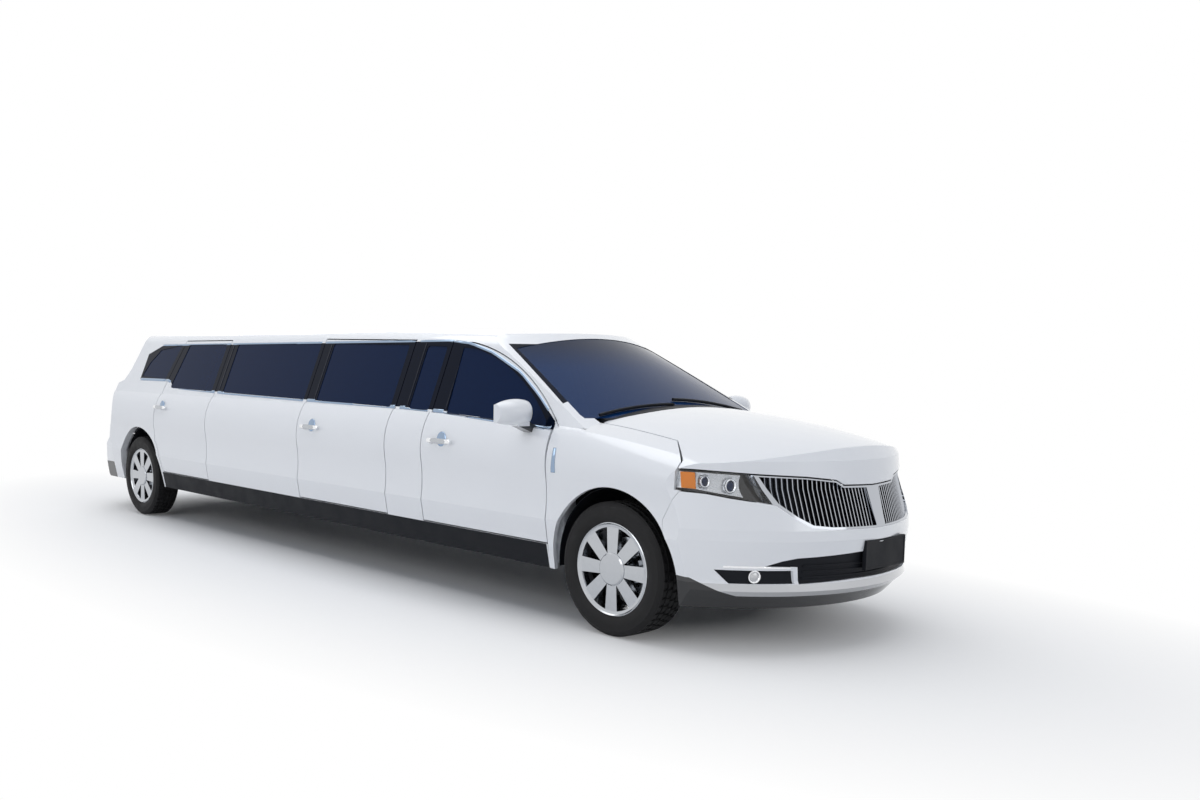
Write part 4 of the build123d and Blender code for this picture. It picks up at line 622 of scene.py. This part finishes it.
def height_at(points, x):
    """The height of a line of points at x."""
    for (xa, za), (xb, zb) in zip(points, points[1:]):
        if xa <= x <= xb:
            return za + (zb - za) * (x - xa) / (xb - xa)
    return points[0][1] if x < points[0][0] else points[-1][1]


def body_of_side(x, side):
    """Which body carries the side at a place along it."""
    for door, (low, high) in DOOR_SPANS.items():
        if side in DOOR_SIDES[door] and low < x < high:
            return f"door_{door}_{side}_body"
    return "root"


def side_breaks(side, low, high):
    """The stretches between the shut lines of the doors, on one side."""
    cuts = {low, high}
    for door, span in DOOR_SPANS.items():
        if side in DOOR_SIDES[door]:
            cuts.update(x for x in span if low < x < high)
    cuts = sorted(cuts)
    return [(a + STRIP_GAP, b - STRIP_GAP) for a, b in zip(cuts, cuts[1:]) if b - a > 4 * STRIP_GAP]


def side_strip(name, side, points, low, high, lift, height):
    """A bright strip along a line of the side, cut at each shut line."""
    sign = SIDES[side]
    for number, (start, end) in enumerate(side_breaks(side, low, high)):

        def place(u, v, start=start, end=end):
            x = start + (end - start) * u
            z = height_at(points, x) + lift + (v - 0.5) * height
            crown = STRIP_T * 0.5 * (1 - (2 * v - 1) ** 2)
            return on_side(x, z, side) + Vector((0, sign * crown, 0))

        columns = max(4, round((end - start) / STRIP_STEP))
        piece = laid_grid(name, columns, 4, place, STRIP_T)
        body = body_of_side((start + end) / 2, side)
        # The strips' blue-tinted chrome is a painted reflection of the sky.
        finish_piece(piece, f"{name}_{side}_{number}", body, "bright_trim", "strip_chrome")


def make_window_trim():
    """Bright strips under and over the side windows, and thin dark uprights between the panes."""
    for side, sign in SIDES.items():
        side_strip("belt_strip", side, BELT, **BELT_STRIP)
        side_strip("head_strip", side, HEAD, **HEAD_STRIP)
        for number, x in enumerate(DIVIDERS):
            low, high = height_at(BELT, x) + DIVIDER_FOOT, height_at(HEAD, x) - DIVIDER_HEAD

            def place(u, v, x=x, low=low, high=high):
                skin = on_side(x + (v - 0.5) * DIVIDER_W, low + (high - low) * u, side)
                return skin + Vector((0, sign * 0.001, 0))

            piece = laid_grid("divider", 12, 2, place, DIVIDER_T)
            body = body_of_side(x, side)
            finish_piece(piece, f"divider_{side}_{number}", body, "bright_trim", "grille_dark")


def lamp_point(y, z, sign, behind):
    return on_front(LAMP_SKIN, sign * y, z) - Vector((behind, 0, 0))


def ring(name, centre, aim, outer, inner, depth, finish, slot="bright_trim"):
    """A round bezel: a cylinder whose face is inset and sunk to a bowl."""
    deselect()
    turn = aim.to_track_quat("Z", "Y").to_euler()
    bpy.ops.mesh.primitive_cylinder_add(
        vertices=40, radius=outer, depth=depth, location=centre, rotation=turn
    )
    piece = bpy.context.object
    choose_faces(piece, lambda face: face.normal.z > 0.9)
    bpy.ops.object.mode_set(mode="EDIT")
    bpy.ops.mesh.inset(thickness=outer - inner, depth=0)
    bpy.ops.mesh.inset(thickness=inner * 0.25, depth=-depth * 0.55)
    bpy.ops.object.mode_set(mode="OBJECT")
    apply_modifier(piece, "BEVEL", width=depth * 0.05, segments=2, limit_method="ANGLE")
    bpy.ops.object.shade_smooth_by_angle(angle=math.radians(40))
    return finish_piece(piece, name, "root", slot, finish)


def bulb(name, centre, aim, radius, flat, finish, slot="lamp_glass", body="root"):
    """A round lens, flattened along its axis."""
    deselect()
    turn = aim.to_track_quat("Z", "Y").to_euler()
    bpy.ops.mesh.primitive_uv_sphere_add(
        segments=32, ring_count=16, radius=radius, location=centre, rotation=turn
    )
    piece = bpy.context.object
    piece.scale = (1, 1, flat)
    bpy.ops.object.shade_smooth()
    return finish_piece(piece, name, body, slot, finish)


def make_lamp_insides():
    """Behind each headlamp's glass: a bright bowl, two projectors with lenses, and an amber end."""
    for side, sign in SIDES.items():
        def bowl(u, v):
            y = LAMP_Y_IN + (LAMP_Y_OUT - LAMP_Y_IN) * u
            low, high = height_at(LAMP_LOW, y) + 0.012, height_at(LAMP_HIGH, y) - 0.010
            dish = BOWL_DISH * (1 - (2 * v - 1) ** 2)
            return lamp_point(y, low + (high - low) * v, sign, BOWL_BEHIND + dish)

        piece = laid_grid("lamp_bowl", 20, 10, bowl, BOWL_T)
        finish_piece(piece, f"lamp_bowl_{side}", "root", "bright_trim", "satin_silver")
        for number, (y, z, radius) in enumerate(PROJECTORS):
            aim = Vector((1, sign * 0.25, 0.05))
            place = lamp_point(y, z, sign, PROJECTOR_BEHIND)
            bezel = (radius, radius * 0.78, PROJECTOR_DEPTH)
            ring(f"projector_ring_{side}_{number}", place, aim, *bezel, "bright_trim")
            bulb(f"projector_lens_{side}_{number}", place, aim, radius * 0.62, 0.6, "tinted_glass")

        def amber(u, v):
            y = AMBER_Y + AMBER_W * u
            low, high = height_at(LAMP_LOW, y) + 0.014, height_at(LAMP_HIGH, y) - 0.012
            return lamp_point(y, low + (high - low) * v, sign, AMBER_BEHIND)

        piece = laid_grid("lamp_amber", 6, 6, amber, AMBER_T)
        finish_piece(piece, f"lamp_amber_{side}", "root", "lamp_glass", "amber_lens")


def make_front_details():
    """Bars across the intake, fog lamps with a bright line over them, and the blank dark plate."""
    for number in range(BAR_COUNT):
        middle = BAR_Z + number * BAR_PITCH

        def bar(u, v, middle=middle):
            y = BAR_HALF * (2 * u - 1)
            crown = 0.004 * (1 - (2 * v - 1) ** 2)
            return on_front(NOSE_SKIN, y, middle + (v - 0.5) * BAR_H) + Vector((crown + 0.001, 0, 0))

        piece = laid_grid("intake_bar", 40, 3, bar, 0.004)
        finish_piece(piece, f"intake_bar_{number}", "root", "dark_trim", "dark_trim")
    for side, sign in SIDES.items():
        place = on_front(NOSE_SKIN, sign * FOG_Y, FOG_Z)
        aim = Vector((1, sign * 0.55, 0))
        ring(f"fog_ring_{side}", place, aim, FOG_R, FOG_R - 0.006, 0.024, "bright_trim")
        bulb(f"fog_lens_{side}", place, aim, FOG_R - 0.007, 0.45, "satin_silver", "bright_trim")

        def line(u, v, sign=sign):
            y = sign * (FOG_LINE_Y + FOG_LINE_LONG * u)
            return on_front(NOSE_SKIN, y, FOG_LINE_Z + (v - 0.5) * FOG_LINE_H) + Vector((0.002, 0, 0))

        piece = laid_grid("fog_line", 16, 2, line, 0.004)
        finish_piece(piece, f"fog_line_{side}", "root", "bright_trim", "bright_trim")
    deselect()
    place = (NOSE_X - PLATE_BEHIND, PLATE_Y, PLATE_Z)
    bpy.ops.mesh.primitive_cube_add(size=1, location=place, scale=(PLATE_T, PLATE_W, PLATE_H))
    piece = bpy.context.object
    bpy.ops.object.transform_apply(location=False, rotation=False, scale=True)
    choose_faces(piece, lambda face: face.normal.x > 0.9)
    bpy.ops.object.mode_set(mode="EDIT")
    bpy.ops.mesh.inset(thickness=PLATE_RIM, depth=0)
    bpy.ops.mesh.inset(thickness=0.002, depth=-0.003)
    bpy.ops.object.mode_set(mode="OBJECT")
    apply_modifier(piece, "BEVEL", width=0.003, segments=2, limit_method="ANGLE")
    finish_piece(piece, "front_plate", "root", "dark_trim", "dark_trim")


def make_side_details():
    """An upright bright ornament on each front wing."""
    for side, sign in SIDES.items():
        def vent(u, v):
            z = ORNAMENT_LOW + (ORNAMENT_HIGH - ORNAMENT_LOW) * u
            x = ORNAMENT_X + (v - 0.5) * (ORNAMENT_W - ORNAMENT_NARROWS * u)
            crown = 0.005 * (1 - (2 * v - 1) ** 2)
            return on_side(x, z, side) + Vector((0, sign * crown, 0))

        piece = laid_grid("wing_ornament", 14, 4, vent, ORNAMENT_T)
        finish_piece(piece, f"wing_ornament_{side}", "root", "bright_trim", "strip_chrome")


def make_handles():
    """Behind each door handle a bright cup, and over the handle a crowned bright grip."""
    for door, sides in DOOR_SIDES.items():
        for side in sides:
            sign = SIDES[side]
            body = f"door_{door}_{side}_body"
            corners = [corner.co for corner in NODES[f"door_handle_{door}_{side}"].data.vertices]
            middle = sum(corners, Vector()) / len(corners)
            out = max(corner.y * sign for corner in corners)
            cup = on_side(middle.x, middle.z + CUP_UP, side)
            aim = Vector((0, sign, 0.12))
            name = f"handle_cup_{door}_{side}"
            bulb(name, cup, aim, CUP_R, CUP_FLAT, "strip_chrome", "bright_trim", body)

            def grip(u, v, middle=middle, out=out, sign=sign):
                x = middle.x + (u - 0.5) * GRIP_LONG
                bow = 1 - (2 * u - 1) ** 4
                z = middle.z + (v - 0.5) * GRIP_H * (0.45 + 0.55 * bow)
                crown = 1 - (2 * v - 1) ** 2
                return Vector((x, sign * (out - GRIP_OUT * (1 - bow) - 0.002 + 0.003 * crown), z))

            piece = laid_grid("handle_grip", 24, 6, grip, 0.004)
            finish_piece(piece, f"handle_grip_{door}_{side}", body, "bright_trim", "rim_chrome")


def spun_profile(name, steps, centre, side, points):
    """A closed ring: an outline of (radius, out) points turned about a wheel's axle."""
    deselect()
    sign = SIDES[side]
    first = points[0]
    bpy.ops.mesh.primitive_plane_add(size=0.01, location=(0, 0, 0))
    piece = bpy.context.object
    bpy.ops.object.mode_set(mode="EDIT")
    bpy.ops.mesh.select_mode(type="VERT")
    bpy.ops.mesh.select_all(action="SELECT")
    bpy.ops.mesh.merge(type="CENTER")
    start = (centre.x, centre.y + sign * first[1], centre.z + first[0])
    bpy.ops.transform.translate(value=start)
    for (r0, out0), (r1, out1) in zip(points, points[1:]):
        step = {"value": (0, sign * (out1 - out0), r1 - r0)}
        bpy.ops.mesh.extrude_region_move(TRANSFORM_OT_translate=step)
    bpy.ops.mesh.select_all(action="SELECT")
    bpy.ops.mesh.spin(steps=steps, angle=2 * math.pi, center=centre, axis=(0, 1, 0))
    bpy.ops.mesh.select_all(action="SELECT")
    bpy.ops.mesh.remove_doubles(threshold=0.0002)
    bpy.ops.mesh.select_all(action="SELECT")
    bpy.ops.mesh.normals_make_consistent(inside=False)
    bpy.ops.object.mode_set(mode="OBJECT")
    return piece


def tyre_outline():
    """The tyre in section, from the outer bead over the ribs of the tread to the inner bead."""
    points = list(TYRE_WALL)
    for number, (high, low) in enumerate(TREAD_RIBS):
        drop = (abs(high) + abs(low)) ** 2 * 0.08
        crest = TYRE_R - RIB_DROP - drop
        points += [(crest, high), (crest, low)]
        if number < len(TREAD_RIBS) - 1:
            gap_out, gap_in = low, TREAD_RIBS[number + 1][0]
            points += [(TYRE_R - GROOVE_D, gap_out - 0.0010), (TYRE_R - GROOVE_D, gap_in + 0.0010)]
    points += [(radius, -out) for radius, out in reversed(TYRE_WALL)]
    return points + [TYRE_WALL[0]]


def cut_sipes(piece, centre):
    """Every third face across each rib is pressed in, so that the ribs break into blocks."""
    def pressed(face):
        arm = face.center - centre
        step = round((math.atan2(arm.z, arm.x) / (2 * math.pi) % 1) * TREAD_STEPS - 0.5)
        rib = round((arm.y + 0.1) / 0.041)
        flat = abs(face.normal.y) < 0.35 and math.hypot(arm.x, arm.z) > TYRE_R - 0.0035
        return flat and (step + rib) % 3 == 0 and abs(arm.y) < 0.092

    choose_faces(piece, pressed)
    bpy.ops.object.mode_set(mode="EDIT")
    bpy.ops.mesh.extrude_region_shrink_fatten(TRANSFORM_OT_shrink_fatten={"value": -SIPE_D})
    bpy.ops.object.mode_set(mode="OBJECT")


def make_tyres():
    for place, x in AXLES.items():
        for side, sign in SIDES.items():
            centre = Vector((x, sign * WHEEL_Y, TYRE_R))
            piece = spun_profile("tyre", TREAD_STEPS, centre, side, tyre_outline())
            cut_sipes(piece, centre)
            bpy.ops.object.shade_smooth_by_angle(angle=math.radians(28))
            name = f"tyre_{place}_{side}"
            finish_piece(piece, f"{name}_tread", f"wheel_{place}_{side}_body", "tyre_rubber", "tyre_rubber")
            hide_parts(name)


def pad(name, centre, size, lean=0.0, replaced=None):
    """A padded block: a rounded box, blown up as cloth, with its growth capped and its edges soft."""
    deselect()
    bpy.ops.mesh.primitive_cube_add(size=1, location=(0, 0, 0), scale=size)
    piece = bpy.context.object
    bpy.ops.object.transform_apply(location=False, rotation=False, scale=True)
    apply_modifier(piece, "BEVEL", width=min(size) * 0.28, segments=4)
    apply_modifier(piece, "REMESH", mode="VOXEL", voxel_size=PAD_VOXEL)
    rest = [corner.co.copy() for corner in piece.data.vertices]
    cloth = piece.modifiers.new("cloth", "CLOTH")
    cloth.settings.use_pressure = True
    cloth.settings.uniform_pressure_force = PAD_PRESSURE
    cloth.settings.effector_weights.gravity = 0.0
    cloth.settings.quality = 4
    for number in range(1, PAD_FRAMES + 1):
        bpy.context.scene.frame_set(number)
    bpy.ops.object.modifier_apply(modifier=cloth.name)
    bpy.context.scene.frame_set(1)
    for corner, old in zip(piece.data.vertices, rest):
        shift = corner.co - old
        if shift.length > PAD_CAP:
            corner.co = old + shift.normalized() * PAD_CAP
    apply_modifier(piece, "SMOOTH", factor=0.6, iterations=4)
    apply_modifier(piece, "SUBSURF", levels=1, render_levels=1)
    bpy.ops.object.shade_smooth()
    piece.rotation_euler = (0, math.radians(lean), 0)
    piece.location = centre
    finish_piece(piece, name, "root", "seat_leather", "seat_leather")
    if replaced:
        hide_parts(replaced)
    return piece


def plinth(name, centre, size):
    """A seat's hard foot: a box whose top is inset and raised a little, with soft edges."""
    deselect()
    bpy.ops.mesh.primitive_cube_add(size=1, location=centre, scale=size)
    piece = bpy.context.object
    bpy.ops.object.transform_apply(location=False, rotation=False, scale=True)
    choose_faces(piece, lambda face: face.normal.z > 0.9)
    bpy.ops.object.mode_set(mode="EDIT")
    bpy.ops.mesh.inset(thickness=min(size[:2]) * 0.08, depth=0)
    bpy.ops.mesh.extrude_region_move(TRANSFORM_OT_translate={"value": (0, 0, -size[2] * 0.1)})
    bpy.ops.object.mode_set(mode="OBJECT")
    apply_modifier(piece, "BEVEL", width=0.008, segments=2, limit_method="ANGLE")
    return finish_piece(piece, name, "root", "dash_plastic", "dash_plastic")


def make_front_seats():
    """Two front seats: a hard foot, a cushion, a back that leans, and a headrest."""
    for side, sign in SIDES.items():
        y = sign * DRIVER_Y
        (x, z), size = FRONT_SEAT_FOOT
        plinth(f"seat_foot_{side}", (x, y, z), size)
        for part, (x, z), size, lean in FRONT_SEAT_PADS:
            replaced = "front_seats" if (part, side) == ("cushion", "left") else None
            pad(f"seat_{part}_{side}", (x, y, z), size, lean, replaced)


def make_lounge_seats():
    """The long bench on the left and the one across the back, each of a few cushions."""
    length = BENCH_LONG / BENCH_COUNT
    for number in range(BENCH_COUNT):
        x = BENCH_REAR_X + length * (number + 0.5)
        replaced = "lounge_seats" if number == 0 else None
        plinth(f"bench_foot_{number}", (x, 0.555, 0.490), (length, 0.44, 0.14))
        pad(f"bench_cushion_{number}", (x, 0.545, 0.610), (length - BENCH_SEAM, 0.42, 0.085), 0.0, replaced)
        pad(f"bench_back_{number}", (x, 0.735, 0.905), (length - BENCH_SEAM, 0.085, 0.42))
    for number, y in enumerate(REAR_SEAT_Y):
        plinth(f"rear_foot_{number}", (-1.93, y, 0.490), (0.52, 0.54, 0.14))
        pad(f"rear_cushion_{number}", (-1.87, y, 0.605), (0.40, 0.50, 0.085))
        pad(f"rear_back_{number}", (-2.175, y, 0.915), (0.085, 0.50, 0.46), -12)


def make_stage():
    """A wide pale floor that keeps the car's shadow and fades to white away from it."""
    deselect()
    bpy.ops.mesh.primitive_plane_add(size=FLOOR_SIZE, location=(0, 0, 0))
    ground = bpy.context.object
    ground.name = "studio_floor"
    shade = Finish("studio_floor")
    colour = shade.blend(shade.noise(0.05, detail=6.0), FLOOR, scaled(FLOOR, 0.97))
    x, y, z = shade.axes()
    away = shade.node("Math", {"operation": "SQRT"}, {0: x * x * FLOOR_LONG + y * y})
    fade = shade.ramp(away, FLOOR_NEAR, FLOOR_FAR, 0.0, 1.0) * shade.sees_white()
    lit = shade.node("BsdfPrincipled", {}, {"Base Color": colour, "Roughness": 0.75})
    white = shade.node("Emission", {}, {"Color": (1, 1, 1, 1), "Strength": 1.0})
    both = shade.node("MixShader", {}, {"Fac": fade, 1: lit, 2: white})
    shade.node("OutputMaterial", {}, {"Surface": both})
    ground.data.materials.append(shade.data)


def white_behind():
    """A world that lights softly, and shows as plain white behind the car."""
    sky = Finish("soft_sky", bpy.data.worlds.new("soft_sky"))
    bpy.context.scene.world = sky.data
    soft = sky.node("Background", {}, {"Color": SKY, "Strength": SKY_STRENGTH})
    white = sky.node("Background", {}, {"Color": (1, 1, 1, 1)})
    both = sky.node("MixShader", {}, {"Fac": sky.sees_white(), 1: soft, 2: white})
    sky.node("OutputWorld", {}, {"Surface": both})


def area_lamp(name, place, aim, size, power):
    light = bpy.data.lights.new(name, "AREA")
    light.shape = "RECTANGLE"
    light.size, light.size_y = size
    light.energy = power
    lamp = bpy.data.objects.new(name, light)
    bpy.context.collection.objects.link(lamp)
    lamp.location = place
    lamp.rotation_euler = (Vector(aim) - Vector(place)).to_track_quat("-Z", "Y").to_euler()


def make_light():
    white_behind()
    for lamp in LAMPS:
        area_lamp(*lamp)


def make_camera():
    """The photograph's viewpoint, with its optical centre set off by the shift."""
    data = bpy.data.cameras.new("photo_camera")
    data.sensor_width = SENSOR_MM
    data.lens = FOCAL_PX / PHOTO_WIDTH * SENSOR_MM
    data.shift_x = 0.5 - OPTICAL_CENTRE_PX[0] / PHOTO_WIDTH
    data.shift_y = (OPTICAL_CENTRE_PX[1] - PHOTO_HEIGHT / 2) / PHOTO_WIDTH
    camera = bpy.data.objects.new("photo_camera", data)
    bpy.context.collection.objects.link(camera)
    camera.location = CAMERA_PLACE
    heading = Euler((0, 0, math.radians(CAMERA_YAW - 90))).to_matrix()
    tilt = Euler((math.radians(90 + CAMERA_PITCH), 0, 0)).to_matrix()
    roll = Euler((0, 0, math.radians(CAMERA_ROLL))).to_matrix()
    camera.rotation_euler = (heading @ tilt @ roll).to_euler()
    bpy.context.scene.camera = camera


make_window_trim()
make_lamp_insides()
make_front_details()
make_side_details()
make_handles()
make_tyres()
make_front_seats()
make_lounge_seats()
make_stage()
make_light()
make_camera()
bpy.context.scene.view_settings.view_transform = "Standard"
